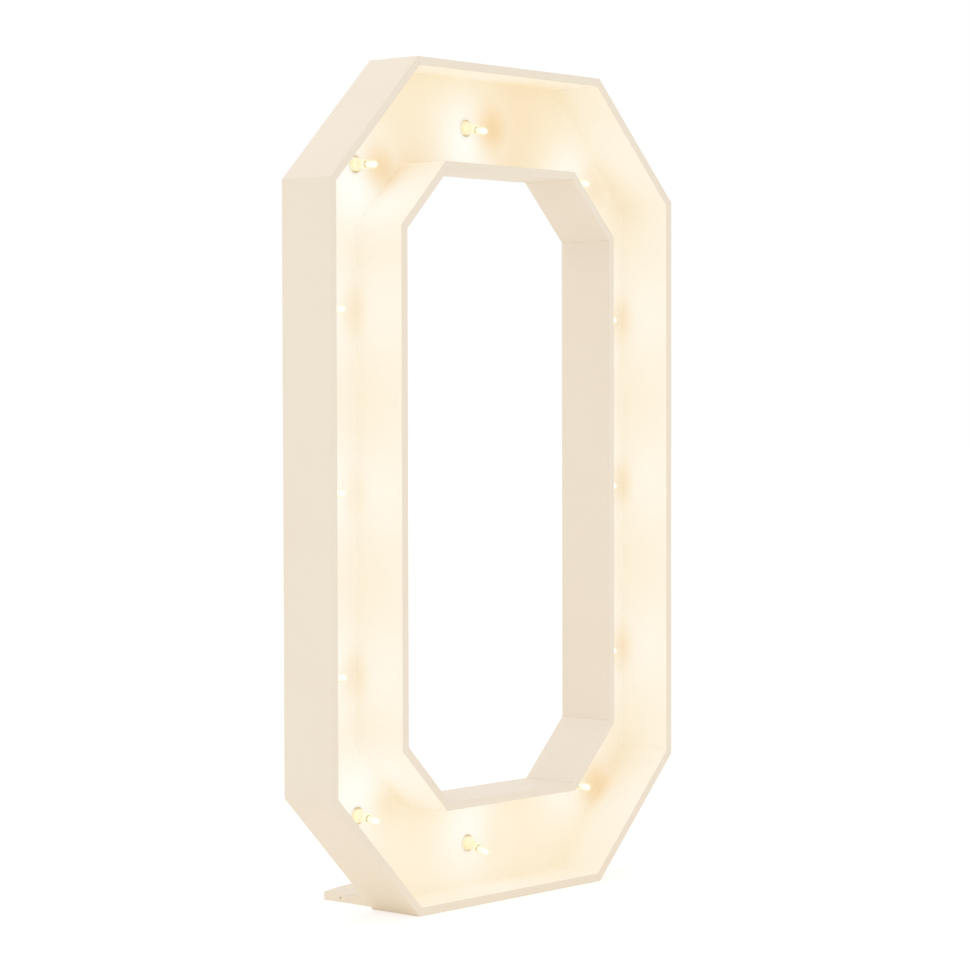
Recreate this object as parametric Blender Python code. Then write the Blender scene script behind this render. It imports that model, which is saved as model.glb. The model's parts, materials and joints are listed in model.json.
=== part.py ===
"""Light-up number zero: an eight-sided ring of painted board, open at the front, on a rear foot.

Twelve small screw-in lamps stand in the channel between an outer and an inner wall. The back panel
carries their holders, the wiring that joins them, and a box with the switch and the low-voltage inlet.
Metres, +Z up, the lit side faces -Y. The origin is on the floor, under the middle of the walls' depth.
"""

import math

import bmesh
import bpy
from mathutils import Matrix, Vector
from mathutils.geometry import interpolate_bezier

# The number as a whole
HEIGHT = 1.200
WIDTH = 0.755
DEPTH = 0.092
CORNER_CUT = 0.176
BAND = 0.154

# Boards: the walls and foot are one thickness, the back panel is thin and let into a rebate
BOARD = 0.012
PANEL = 0.003
REBATE = 0.006
ARRIS = 0.0008
GAP = 0.0003

# Foot: the bottom board runs on behind the back, with a bowed rear edge
FOOT_WIDTH = 0.372
FOOT_REACH = 0.110
FOOT_BOW = 0.028
PIN_HOLE_RADIUS = 0.0012
PIN_HOLE_DEPTH = 0.004
PIN_HOLE_SETBACK = 0.033

# Lamps: where they stand, and how far each neck droops, in degrees
LEG_PITCH = 0.254
LAMP_LOW = 0.005
DROOP_DEGREES = {
    "top": 11, "top_right": 8, "right_upper": 11, "right_middle": 9, "right_lower": 8, "bottom_right": 8,
    "bottom": 18, "bottom_left": 8, "left_lower": 3, "left_middle": 1, "left_upper": 1, "top_left": 3,
}

# Lamp holder: a body behind the panel, a threaded barrel through it, a ring nut and a neck in front
BODY_RADIUS = 0.010
BODY_LENGTH = 0.012
BODY_ROUND = 0.0015
BARREL_RADIUS = 0.0075
BARREL_REACH = 0.0045
NECK_RADIUS = 0.0065
NECK_REACH = 0.0213
NECK_LIP = 0.0006
SOCKET_DEPTH = 0.0143
RING_RADIUS = 0.012
RING_THICKNESS = 0.0032
RING_ROUND = 0.0013

# Bulb: a metal cap that fills the holder's socket, and a small pear of glass
CAP_RADIUS = 0.0049
CAP_TIP_RADIUS = 0.0018
CAP_TIP_HEIGHT = 0.0010
CAP_TAPER = 0.0018
GLASS_RADIUS = 0.00675
GLASS_LENGTH = 0.0220
GLASS_SHARES = (
    (0.00, 0.66), (0.12, 0.76), (0.30, 0.93), (0.50, 1.00), (0.68, 0.95), (0.83, 0.76), (0.94, 0.45),
)

# Wiring: one round cable, laid on the back in a loop that passes under every holder and through the box
CABLE_RADIUS = 0.0022
PULL_SHARE = 0.36

# Box on the back of one leg: a moulded shell with a flange, two screws, a switch and an inlet
BOX_WIDTH = 0.058
BOX_HEIGHT = 0.088
BOX_DEPTH = 0.026
BOX_WALL = 0.0022
BOX_CORNER = 0.006
BOX_FILLET = 0.0020
FLANGE_MARGIN = 0.011
FLANGE_THICKNESS = 0.0025
SCREW_RADIUS = 0.0015
SCREW_BITE = 0.0022
HEAD_RADIUS = 0.0030
HEAD_HEIGHT = 0.0020
HEAD_ROUND = 0.0008

# Rocker switch in the rear face of the box
SWITCH_WIDTH = 0.013
SWITCH_HEIGHT = 0.0192
SWITCH_RAISE = 0.018
SWITCH_BODY = 0.0100
BEZEL_MARGIN = 0.0012
BEZEL_THICKNESS = 0.0018
SWITCH_WALL = 0.0016
PIVOT_DEPTH = 0.0035
PIVOT_RADIUS = 0.0010
ROCKER_TILT_DEGREES = 12
ROCKER_CREST = 0.0050
ROCKER_DIP = 0.0034
ROCKER_SKIRT = 0.0018
ROCKER_ROUND = 0.0005
ROCKER_END_GAP = 0.0012
SKIRT_SHARE = 0.7
CREST_SHARES = (-1.0, -0.5, 0.0, 0.5, 1.0)

# Low-voltage inlet in the lower side of the box
INLET_OFFSET = 0.016
INLET_BEZEL_RADIUS = 0.0070
INLET_BEZEL = 0.0020
INLET_BARREL_RADIUS = 0.0055
INLET_LENGTH = 0.0160
INLET_BORE_RADIUS = 0.0032
INLET_BORE_DEPTH = 0.0095
INLET_PIN_RADIUS = 0.00105
INLET_PIN_SETBACK = 0.0010

# Cuts run past the faces that they open, and seams closer than this are welded
OVERRUN = 0.001
WELD = 0.000001

# Facets
LAMP_STEPS = 14
ROUND_STEPS = 12
CORNER_STEPS = 3
FOOT_STEPS = 12
RUN_POINTS = 9

SIDES = ("bottom", "bottom_right", "right", "top_right", "top", "top_left", "left", "bottom_left")
FACE = DEPTH / 2 - PANEL
BACK = DEPTH / 2

IVORY = ((0.80, 0.72, 0.60), 0.55, 0.0)
CREAM_PLASTIC = ((0.82, 0.76, 0.62), 0.40, 0.0)
BRASS = ((0.80, 0.62, 0.28), 0.25, 1.0)
WARM_GLASS = ((1.00, 0.90, 0.72), 0.10, 0.0)
WHITE_CABLE = ((0.78, 0.76, 0.72), 0.45, 0.0)
WHITE_PLASTIC = ((0.80, 0.78, 0.74), 0.40, 0.0)
BLACK_PLASTIC = ((0.03, 0.03, 0.03), 0.30, 0.0)
STEEL = ((0.62, 0.61, 0.59), 0.30, 1.0)


def clear_scene():
    for thing in list(bpy.data.objects):
        bpy.data.objects.remove(thing)


def finish(name, look):
    """One Principled material in a look's colour, roughness and metallic value."""
    colour, roughness, metallic = look
    material = bpy.data.materials.new(name + "_finish")
    material.use_nodes = True
    shader = material.node_tree.nodes["Principled BSDF"]
    shader.inputs["Base Color"].default_value = (*colour, 1.0)
    shader.inputs["Roughness"].default_value = roughness
    shader.inputs["Metallic"].default_value = metallic
    material.diffuse_color = (*colour, 1.0)
    return material


def place(thing, look, location=(0, 0, 0), turn=0.0):
    """Puts an object in the scene, turned about X, under the sign's empty."""
    thing.data.materials.append(finish(thing.name, look))
    thing.location = location
    thing.rotation_euler = (turn, 0, 0)
    thing.parent = bpy.data.objects["sign"]
    bpy.context.scene.collection.objects.link(thing)
    return thing


def solid(name, bm, look, location=(0, 0, 0), turn=0.0):
    """Turns a closed bmesh into a named object with crisp edges and smooth round faces."""
    bmesh.ops.recalc_face_normals(bm, faces=bm.faces)
    mesh = bpy.data.meshes.new(name)
    bm.to_mesh(mesh)
    bm.free()
    mesh.shade_smooth()
    mesh.set_sharp_from_angle(angle=math.radians(35))
    return place(bpy.data.objects.new(name, mesh), look, location, turn)


def cut(target, name, bm, operation="DIFFERENCE"):
    """Subtracts a closed bmesh, kept as a wire guide, from a piece, or joins it on with UNION."""
    bmesh.ops.recalc_face_normals(bm, faces=bm.faces)
    mesh = bpy.data.meshes.new(name)
    bm.to_mesh(mesh)
    bm.free()
    cutter = bpy.data.objects.new(name, mesh)
    cutter.hide_render = True
    cutter.display_type = "WIRE"
    cutter.parent = bpy.data.objects["sign"]
    bpy.context.scene.collection.objects.link(cutter)
    modifier = target.modifiers.new(name, "BOOLEAN")
    modifier.operation = operation
    modifier.solver = "EXACT"
    modifier.object = cutter


def loft(bm, rings, closed=False):
    """Skins rings of equal count, with a cap at each end, or round in a loop when closed."""
    rings = [[bm.verts.new(point) for point in ring] for ring in rings]
    pairs = list(zip(rings, rings[1:]))
    if closed:
        pairs.append((rings[-1], rings[0]))
    for near, far in pairs:
        for i in range(len(near)):
            bm.faces.new((near[i - 1], near[i], far[i], far[i - 1]))
    if not closed:
        bm.faces.new(rings[0])
        bm.faces.new(rings[-1])
    return rings


def soften(bm, edges, size):
    """Rounds the given edges."""
    bmesh.ops.bevel(bm, geom=edges, offset=size, segments=2, profile=0.5, affect="EDGES", material=-1)


def turned(bm, profile, steps):
    """Spins a profile of (radius, reach) round the Y axis, reaching towards -Y, from axis to axis."""
    verts = [bm.verts.new((radius, -reach, 0)) for radius, reach in profile]
    edges = [bm.edges.new(pair) for pair in zip(verts, verts[1:])]
    chain = verts + edges
    bmesh.ops.spin(bm, geom=chain, cent=(0, 0, 0), axis=(0, 1, 0), angle=math.tau, steps=steps, use_merge=True)
    bmesh.ops.remove_doubles(bm, verts=bm.verts, dist=WELD)


def add_turned(bm, profile, steps, matrix):
    """Adds one more turned shape to a bmesh that may already hold others."""
    piece = bmesh.new()
    turned(piece, profile, steps)
    bmesh.ops.recalc_face_normals(piece, faces=piece.faces)
    bmesh.ops.transform(piece, matrix=matrix, verts=piece.verts)
    mesh = bpy.data.meshes.new("turned_shape")
    piece.to_mesh(mesh)
    piece.free()
    bm.from_mesh(mesh)
    bpy.data.meshes.remove(mesh)


def rounded_rectangle(half_width, half_height, radius):
    """Corner points of a rectangle with round corners, anticlockwise from its right side."""
    points = []
    for quarter in range(4):
        middle = math.radians(45 + 90 * quarter)
        across = math.copysign(half_width - radius, math.cos(middle))
        up = math.copysign(half_height - radius, math.sin(middle))
        for step in range(CORNER_STEPS + 1):
            angle = math.radians(90) * (quarter + step / CORNER_STEPS)
            points.append((across + radius * math.cos(angle), up + radius * math.sin(angle)))
    return points


def side_line(side, inset):
    """A side's outward direction in X and Z, and its distance from the middle of the number."""
    angle = math.radians(45 * side - 90)
    across, up = math.cos(angle), math.sin(angle)
    if side % 2:
        reach = (WIDTH / 2 + HEIGHT / 2 - CORNER_CUT) / math.sqrt(2)
    elif side % 4:
        reach = WIDTH / 2
    else:
        reach = HEIGHT / 2
    return across, up, reach - inset


def outline(inset, floor=None):
    """The eight corners (x, z) of the number's outline drawn in by inset, each where a side begins.

    The bottom side has its own inset when floor is given.
    """
    insets = [inset] * len(SIDES)
    if floor is not None:
        insets[0] = floor
    lines = [side_line(side, insets[side]) for side in range(len(SIDES))]
    corners = []
    for side in range(len(SIDES)):
        x1, z1, reach1 = lines[side - 1]
        x2, z2, reach2 = lines[side]
        cross = x1 * z2 - z1 * x2
        x = (reach1 * z2 - reach2 * z1) / cross
        z = (x1 * reach2 - x2 * reach1) / cross
        corners.append((x, z + HEIGHT / 2))
    return corners


def side_ends(side, inset):
    """Both ends of one side, each drawn back from the mitre by half the joint."""
    corners = outline(inset)
    start = Vector(corners[side])
    end = Vector(corners[(side + 1) % len(corners)])
    back = (end - start).normalized() * (GAP / 2 / math.cos(math.radians(22.5)))
    return start + back, end - back


def wall(name, side, shell, rebate, channel):
    """A mitred wall board, rebated along its rear inner edge for the back panel.

    shell, rebate and channel are the insets of its bare face, of the rebate and of its face in the channel.
    """
    ledge = FACE - GAP
    profile = (
        (shell, -BACK), (channel, -BACK), (channel, ledge),
        (rebate, ledge), (rebate, BACK), (shell, BACK),
    )
    rings = []
    for end in (0, 1):
        ring = []
        for inset, y in profile:
            x, z = side_ends(side, inset)[end]
            ring.append((x, y, z))
        rings.append(ring)
    bm = bmesh.new()
    near, far = loft(bm, rings)
    arrises = [bm.edges.get((near[corner], far[corner])) for corner in (0, 1, 4, 5)]
    soften(bm, arrises, ARRIS)
    return solid(name, bm, IVORY)


def walls():
    """Seven outer walls, since the base board is the eighth, and eight walls round the hole."""
    for side, label in enumerate(SIDES):
        if label != "bottom":
            wall("outer_wall_" + label, side, 0, BOARD - REBATE, BOARD)
        wall("inner_wall_" + label, side, BAND, BAND - BOARD + REBATE, BAND - BOARD)


def base_board():
    """The bottom wall and the foot behind it, cut from one board."""
    half = FOOT_WIDTH / 2
    rear = BACK + FOOT_REACH
    radius = (half ** 2 + FOOT_BOW ** 2) / (2 * FOOT_BOW)
    spread = math.asin(half / radius)
    rings = []
    for inset in (0, BOARD):
        left, right = side_ends(0, inset)
        ring = [(left.x, -BACK, inset), (right.x, -BACK, inset), (right.x, BACK, inset), (half, BACK, inset)]
        for step in range(FOOT_STEPS + 1):
            angle = spread * (1 - 2 * step / FOOT_STEPS)
            sag = radius * (1 - math.cos(angle))
            ring.append((radius * math.sin(angle), rear + FOOT_BOW - sag, inset))
        ring += [(-half, BACK, inset), (left.x, BACK, inset)]
        rings.append(ring)
    bm = bmesh.new()
    low, high = loft(bm, rings)
    count = len(low)
    first, last = 4, 4 + FOOT_STEPS
    corners = [bm.edges.get((low[i], high[i])) for i in (first, last)]
    mitres = ((1, 2), (count - 1, 0))
    rims = [(i, (i + 1) % count) for i in range(count) if (i, (i + 1) % count) not in mitres]
    edges = [bm.edges.get((ring[i], ring[j])) for ring in (low, high) for i, j in rims]
    soften(bm, corners + edges, ARRIS)
    board = solid("base_board", bm, IVORY)
    hole = bmesh.new()
    span = PIN_HOLE_DEPTH + OVERRUN
    spot = Vector((-half + PIN_HOLE_DEPTH - span / 2, rear - PIN_HOLE_SETBACK, BOARD / 2))
    bmesh.ops.create_cone(
        hole, cap_ends=True, segments=ROUND_STEPS, radius1=PIN_HOLE_RADIUS, radius2=PIN_HOLE_RADIUS, depth=span,
        matrix=Matrix.Translation(spot) @ Matrix.Rotation(math.radians(90), 4, "Y"),
    )
    cut(board, "pin_hole_cut", hole)


def lamp_places():
    """Where each lamp stands, in X and Z, in order round the number from the top."""
    middle = [Vector(corner) for corner in outline(BAND / 2)]
    centres = {}
    for side, label in enumerate(SIDES):
        centres[label] = (middle[side] + middle[(side + 1) % len(middle)]) / 2
    places = {}
    for name in DROOP_DEGREES:
        leg, _, level = name.partition("_")
        if level in ("upper", "middle", "lower"):
            shift = {"upper": LEG_PITCH, "middle": 0, "lower": -LEG_PITCH}[level]
            places[name] = centres[leg] + Vector((0, shift - LAMP_LOW))
        else:
            places[name] = centres[name] + Vector((0, -LAMP_LOW))
    return places


def box_place():
    """The box sits behind the right leg, midway between its middle and its lowest lamp."""
    places = lamp_places()
    return (places["right_middle"] + places["right_lower"]) / 2


def box_screw_places():
    """Two screws, at opposite corners of the flange."""
    corner = Vector((BOX_WIDTH / 2 + FLANGE_MARGIN / 2, BOX_HEIGHT / 2 + FLANGE_MARGIN / 2))
    return {"upper": box_place() + corner, "lower": box_place() - corner}


def back_panel():
    """A flat ring that closes the channel behind, standing on the base board and let into the other walls."""
    outer = outline(BOARD - REBATE + GAP, BOARD + GAP)
    inner = outline(BAND - BOARD + REBATE - GAP)
    faces = ((outer, FACE), (outer, BACK), (inner, BACK), (inner, FACE))
    bm = bmesh.new()
    loft(bm, [[(x, y, z) for x, z in corners] for corners, y in faces], closed=True)
    panel = solid("back_panel", bm, IVORY)
    holes = bmesh.new()
    radius = BARREL_RADIUS + GAP
    hole = ((0, -OVERRUN), (radius, -OVERRUN), (radius, PANEL + OVERRUN), (0, PANEL + OVERRUN))
    for place_xz in lamp_places().values():
        add_turned(holes, hole, LAMP_STEPS, Matrix.Translation((place_xz.x, BACK, place_xz.y)))
    radius = SCREW_RADIUS + GAP
    hole = ((0, -OVERRUN), (radius, -OVERRUN), (radius, SCREW_BITE + GAP), (0, SCREW_BITE + GAP))
    for place_xz in box_screw_places().values():
        add_turned(holes, hole, ROUND_STEPS, Matrix.Translation((place_xz.x, BACK, place_xz.y)))
    cut(panel, "panel_holes_cut", holes)


def lamp_holder(name, x, z, droop, along):
    """A moulded holder: its neck leans down by the lamp's own droop, and its body straddles the cable."""
    rear = PANEL + GAP
    profile = (
        (0, -rear - BODY_LENGTH), (BODY_RADIUS - BODY_ROUND, -rear - BODY_LENGTH),
        (BODY_RADIUS, -rear - BODY_LENGTH + BODY_ROUND), (BODY_RADIUS, -rear), (BARREL_RADIUS, -rear),
        (BARREL_RADIUS, BARREL_REACH), (NECK_RADIUS, BARREL_REACH), (NECK_RADIUS, NECK_REACH - NECK_LIP),
        (NECK_RADIUS - NECK_LIP, NECK_REACH), (CAP_RADIUS + GAP, NECK_REACH),
        (CAP_RADIUS + GAP, NECK_REACH - SOCKET_DEPTH), (0, NECK_REACH - SOCKET_DEPTH),
    )
    bm = bmesh.new()
    turned(bm, profile, LAMP_STEPS)
    neck = [vert for vert in bm.verts if vert.co.y < -BARREL_REACH - WELD]
    bmesh.ops.rotate(bm, verts=neck, cent=(0, -BARREL_REACH, 0), matrix=Matrix.Rotation(droop, 3, "X"))
    holder = solid("lamp_holder_" + name, bm, CREAM_PLASTIC, (x, FACE, z))
    slot = bmesh.new()
    reach = BODY_RADIUS + OVERRUN
    height = (CABLE_RADIUS + GAP) * 2
    size = Matrix.Diagonal((reach * 2, height, height, 1))
    aim = Matrix.Rotation(-math.atan2(along.y, along.x), 4, "Y")
    bmesh.ops.create_cube(slot, size=1, matrix=Matrix.Translation((x, BACK + height / 2, z)) @ aim @ size)
    cut(holder, "cable_slot_" + name, slot)


def bulb(name, x, z, droop):
    """A screw-in bulb whose axis follows its holder's neck; its origin lies on that axis, at the bend."""
    tip = NECK_REACH - SOCKET_DEPTH - BARREL_REACH + GAP
    shoulder = NECK_REACH - BARREL_REACH + GAP
    profile = [
        (0, tip), (CAP_TIP_RADIUS, tip), (CAP_TIP_RADIUS, tip + CAP_TIP_HEIGHT),
        (CAP_RADIUS, tip + CAP_TIP_HEIGHT + CAP_TAPER), (CAP_RADIUS, shoulder),
    ]
    for along, out in GLASS_SHARES:
        profile.append((GLASS_RADIUS * out, shoulder + GAP + GLASS_LENGTH * along))
    profile.append((0, shoulder + GAP + GLASS_LENGTH))
    bm = bmesh.new()
    turned(bm, profile, LAMP_STEPS)
    solid("bulb_" + name, bm, WARM_GLASS, (x, FACE - BARREL_REACH, z), droop)


def lamps():
    """Twelve holders, each with its bulb and the ring nut that clamps it to the panel."""
    directions = dict(cable_knots())
    inner = BARREL_RADIUS + GAP
    top = GAP + RING_THICKNESS
    section = (
        (inner, GAP), (RING_RADIUS, GAP), (RING_RADIUS, top - RING_ROUND), (RING_RADIUS - RING_ROUND, top),
        (inner + ARRIS, top), (inner, top - ARRIS), (inner, GAP),
    )
    for name, place_xz in lamp_places().items():
        droop = math.radians(DROOP_DEGREES[name])
        lamp_holder(name, place_xz.x, place_xz.y, droop, directions[name][1])
        bulb(name, place_xz.x, place_xz.y, droop)
        nut = bmesh.new()
        turned(nut, section, LAMP_STEPS)
        solid("ring_nut_" + name, nut, BRASS, (place_xz.x, FACE, place_xz.y))


def cable_knots():
    """The named places that the cable passes, in order, each with its direction there, in X and Z."""
    box = box_place()
    down = Vector((0, -1))
    stops = []
    for name, spot in lamp_places().items():
        stops.append((name, spot))
        if name == "right_middle":
            stops.append(("box_top", box - down * BOX_HEIGHT / 2))
            stops.append(("box_foot", box + down * (BOX_HEIGHT / 2 + FLANGE_MARGIN)))
    knots = []
    for i, (name, spot) in enumerate(stops):
        along = (stops[(i + 1) % len(stops)][1] - stops[i - 1][1]).normalized()
        knots.append((name, (spot, down if name.startswith("box") else along)))
    return knots


def lift(point, height):
    """A point of the drawing plane, set behind the panel by a height."""
    return Vector((point.x, BACK + height, point.y))


def wiring():
    """The cable, as one closed loop of tube, straight where it passes under a holder or into the box."""
    curve = bpy.data.curves.new("wiring_loop", "CURVE")
    curve.dimensions = "3D"
    curve.bevel_depth = CABLE_RADIUS
    curve.bevel_resolution = 2
    height = GAP + CABLE_RADIUS
    straight = BODY_RADIUS + CABLE_RADIUS
    knots = [knot for _, knot in cable_knots()]
    points = []
    for (near, leave), (far, arrive) in zip(knots, knots[1:] + knots[:1]):
        start = near + leave * straight
        end = far - arrive * straight
        pull = (end - start).length * PULL_SHARE
        handles = [lift(point, height) for point in (start, start + leave * pull, end - arrive * pull, end)]
        points += interpolate_bezier(*handles, RUN_POINTS)
    spline = curve.splines.new("POLY")
    spline.points.add(len(points) - 1)
    spline.use_cyclic_u = True
    for target, point in zip(spline.points, points):
        target.co = (*point, 1)
    place(bpy.data.objects.new("wiring_loop", curve), WHITE_CABLE)


def ring_at(centre, points, height):
    return [lift(centre + Vector(point), height) for point in points]


def power_box():
    """The shell of the box, open towards the panel, with its flange, cut-outs and screw holes."""
    centre = box_place()
    half_width, half_height = BOX_WIDTH / 2, BOX_HEIGHT / 2
    flange = rounded_rectangle(half_width + FLANGE_MARGIN, half_height + FLANGE_MARGIN, BOX_CORNER)
    body = rounded_rectangle(half_width, half_height, BOX_CORNER)
    turn = BOX_FILLET * (1 - math.cos(math.radians(45)))
    shoulder = rounded_rectangle(half_width - turn, half_height - turn, BOX_CORNER)
    crown = rounded_rectangle(half_width - BOX_FILLET, half_height - BOX_FILLET, BOX_CORNER)
    top = GAP + BOX_DEPTH
    bm = bmesh.new()
    loft(bm, [
        ring_at(centre, flange, GAP), ring_at(centre, flange, GAP + FLANGE_THICKNESS),
        ring_at(centre, body, GAP + FLANGE_THICKNESS), ring_at(centre, body, top - BOX_FILLET),
        ring_at(centre, shoulder, top - turn), ring_at(centre, crown, top),
    ])
    shell = solid("power_box", bm, WHITE_PLASTIC)

    hollow = bmesh.new()
    inside = rounded_rectangle(half_width - BOX_WALL, half_height - BOX_WALL, BOX_CORNER - BOX_WALL)
    loft(hollow, [ring_at(centre, inside, GAP - OVERRUN), ring_at(centre, inside, top - BOX_WALL)])
    cut(shell, "box_hollow_cut", hollow)

    window = bmesh.new()
    opening = switch_outline(SWITCH_WIDTH / 2 + GAP, SWITCH_HEIGHT / 2 + GAP)
    loft(window, [ring_at(switch_place(), opening, top - BOX_WALL - OVERRUN),
                  ring_at(switch_place(), opening, top + OVERRUN)])
    cut(shell, "switch_window_cut", window)

    notches = bmesh.new()
    radius = CABLE_RADIUS + GAP
    reach = half_height + FLANGE_MARGIN + OVERRUN
    start = half_height - BOX_WALL - OVERRUN
    slot = ((0, start), (radius, start), (radius, reach), (0, reach))
    for quarter in (-1, 1):
        spot = Matrix.Translation(lift(centre, GAP + CABLE_RADIUS))
        add_turned(notches, slot, ROUND_STEPS, spot @ Matrix.Rotation(math.radians(90) * quarter, 4, "X"))
    cut(shell, "cable_notch_cut", notches)

    bore = bmesh.new()
    radius = INLET_BARREL_RADIUS + GAP
    hole = ((0, -BOX_WALL - OVERRUN), (radius, -BOX_WALL - OVERRUN), (radius, OVERRUN), (0, OVERRUN))
    add_turned(bore, hole, ROUND_STEPS, inlet_frame(0))
    cut(shell, "inlet_bore_cut", bore)

    screws = bmesh.new()
    radius = SCREW_RADIUS + GAP
    through = FLANGE_THICKNESS + OVERRUN
    hole = ((0, -OVERRUN), (radius, -OVERRUN), (radius, through), (0, through))
    for place_xz in box_screw_places().values():
        base = lift(place_xz, GAP + FLANGE_THICKNESS)
        add_turned(screws, hole, ROUND_STEPS, Matrix.Translation(base))
    cut(shell, "box_screw_cut", screws)


def box_screws():
    """Two pan-head screws that hold the flange to the panel and end inside its thickness."""
    head = GAP + HEAD_HEIGHT
    tip = -FLANGE_THICKNESS - GAP - SCREW_BITE
    profile = (
        (0, -head), (HEAD_RADIUS - HEAD_ROUND, -head), (HEAD_RADIUS, -head + HEAD_ROUND), (HEAD_RADIUS, -GAP),
        (SCREW_RADIUS, -GAP), (SCREW_RADIUS, -tip), (0, -tip),
    )
    for name, place_xz in box_screw_places().items():
        bm = bmesh.new()
        turned(bm, profile, ROUND_STEPS)
        solid("box_screw_" + name, bm, STEEL, lift(place_xz, GAP + FLANGE_THICKNESS))


def switch_place():
    return box_place() + Vector((0, SWITCH_RAISE))


def switch_outline(half_width, half_height):
    corners = ((1, -1), (1, 1), (-1, 1), (-1, -1))
    return [(half_width * x, half_height * z) for x, z in corners]


def switch_frame():
    """The switch's frame: a bezel on the box, a body through its window, and holes for the rocker's pivots."""
    centre = switch_place()
    seat = GAP + BOX_DEPTH + GAP
    half_width, half_height = SWITCH_WIDTH / 2, SWITCH_HEIGHT / 2
    body = switch_outline(half_width, half_height)
    bezel = switch_outline(half_width + BEZEL_MARGIN, half_height + BEZEL_MARGIN)
    bm = bmesh.new()
    rings = loft(bm, [
        ring_at(centre, body, seat - SWITCH_BODY), ring_at(centre, body, seat),
        ring_at(centre, bezel, seat), ring_at(centre, bezel, seat + BEZEL_THICKNESS),
    ])
    rim = rings[-1]
    edges = [bm.edges.get((rim[i - 1], rim[i])) for i in range(len(rim))]
    soften(bm, edges, ROCKER_ROUND)
    frame = solid("switch_frame", bm, BLACK_PLASTIC)
    well = bmesh.new()
    opening = switch_outline(half_width - SWITCH_WALL, half_height - SWITCH_WALL)
    loft(well, [ring_at(centre, opening, seat - SWITCH_BODY + SWITCH_WALL),
                ring_at(centre, opening, seat + BEZEL_THICKNESS + OVERRUN)])
    cut(frame, "switch_well_cut", well)
    pivots = bmesh.new()
    reach = half_width + OVERRUN
    radius = PIVOT_RADIUS + GAP
    rod = ((0, -reach), (radius, -reach), (radius, reach), (0, reach))
    add_turned(pivots, rod, ROUND_STEPS, pivot_frame())
    cut(frame, "pivot_hole_cut", pivots)


def pivot_point():
    return lift(switch_place(), GAP + BOX_DEPTH + GAP + BEZEL_THICKNESS - PIVOT_DEPTH)


def pivot_frame():
    """Lays a shape turned round Y along X, through the rocker's pivot."""
    return Matrix.Translation(pivot_point()) @ Matrix.Rotation(math.radians(90), 4, "Z")


def rocker():
    """The rocker, on two stub pivots, tilted to its ON side; its origin lies on the pivot axis."""
    half_width = SWITCH_WIDTH / 2 - SWITCH_WALL - GAP
    half_length = SWITCH_HEIGHT / 2 - SWITCH_WALL - ROCKER_END_GAP
    skirt = half_length * SKIRT_SHARE
    section = [(half_length * share, ROCKER_DIP + (ROCKER_CREST - ROCKER_DIP) * share ** 2)
               for share in CREST_SHARES]
    section += [(half_length, 0), (skirt, -ROCKER_SKIRT), (-skirt, -ROCKER_SKIRT), (-half_length, 0)]
    last = len(CREST_SHARES) - 1
    bm = bmesh.new()
    rings = loft(bm, [[(x, height, z) for z, height in section] for x in (-half_width, half_width)])
    crest = [bm.edges.get((ring[i], ring[i + 1])) for ring in rings for i in range(last)]
    ends = [bm.edges.get((rings[0][i], rings[1][i])) for i in (0, last)]
    soften(bm, crest + ends, ROCKER_ROUND)
    body = solid("rocker", bm, BLACK_PLASTIC, pivot_point(), math.radians(ROCKER_TILT_DEGREES))
    stub = bmesh.new()
    reach = SWITCH_WIDTH / 2 - GAP
    rod = ((0, -reach), (PIVOT_RADIUS, -reach), (PIVOT_RADIUS, reach), (0, reach))
    add_turned(stub, rod, ROUND_STEPS, pivot_frame())
    cut(body, "pivot_stub_guide", stub, "UNION")


def inlet_frame(outward):
    """Turned shapes for the inlet reach down out of the box's lower side, from its face plus outward."""
    centre = box_place() + Vector((INLET_OFFSET, -BOX_HEIGHT / 2 - outward))
    spot = lift(centre, GAP + BOX_DEPTH / 2)
    return Matrix.Translation(spot) @ Matrix.Rotation(math.radians(90), 4, "X")


def inlet():
    """The round inlet, snapped into the box, with its centre pin."""
    rim = GAP + INLET_BEZEL
    floor = rim - INLET_BORE_DEPTH
    tip = rim - INLET_PIN_SETBACK
    end = rim - INLET_LENGTH
    profile = (
        (0, tip), (INLET_PIN_RADIUS, tip), (INLET_PIN_RADIUS, floor), (INLET_BORE_RADIUS, floor),
        (INLET_BORE_RADIUS, rim), (INLET_BEZEL_RADIUS - ARRIS, rim), (INLET_BEZEL_RADIUS, rim - ARRIS),
        (INLET_BEZEL_RADIUS, GAP), (INLET_BARREL_RADIUS, GAP), (INLET_BARREL_RADIUS, end), (0, end),
    )
    bm = bmesh.new()
    add_turned(bm, profile, ROUND_STEPS, inlet_frame(0))
    solid("dc_inlet", bm, BLACK_PLASTIC)


clear_scene()
bpy.context.scene.collection.objects.link(bpy.data.objects.new("sign", None))
walls()
base_board()
back_panel()
lamps()
wiring()
power_box()
box_screws()
switch_frame()
rocker()
inlet()
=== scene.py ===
"""Dresses a light-up number zero: painted boards, lit lamps in their holders, wiring and a switch box.

Metres, +Z up, the lit side faces -Y. Each section makes one piece, or a group of like pieces.
"""

import json
import math

import bmesh
import bpy
from mathutils import Matrix, Vector
from mathutils.geometry import interpolate_bezier


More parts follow.
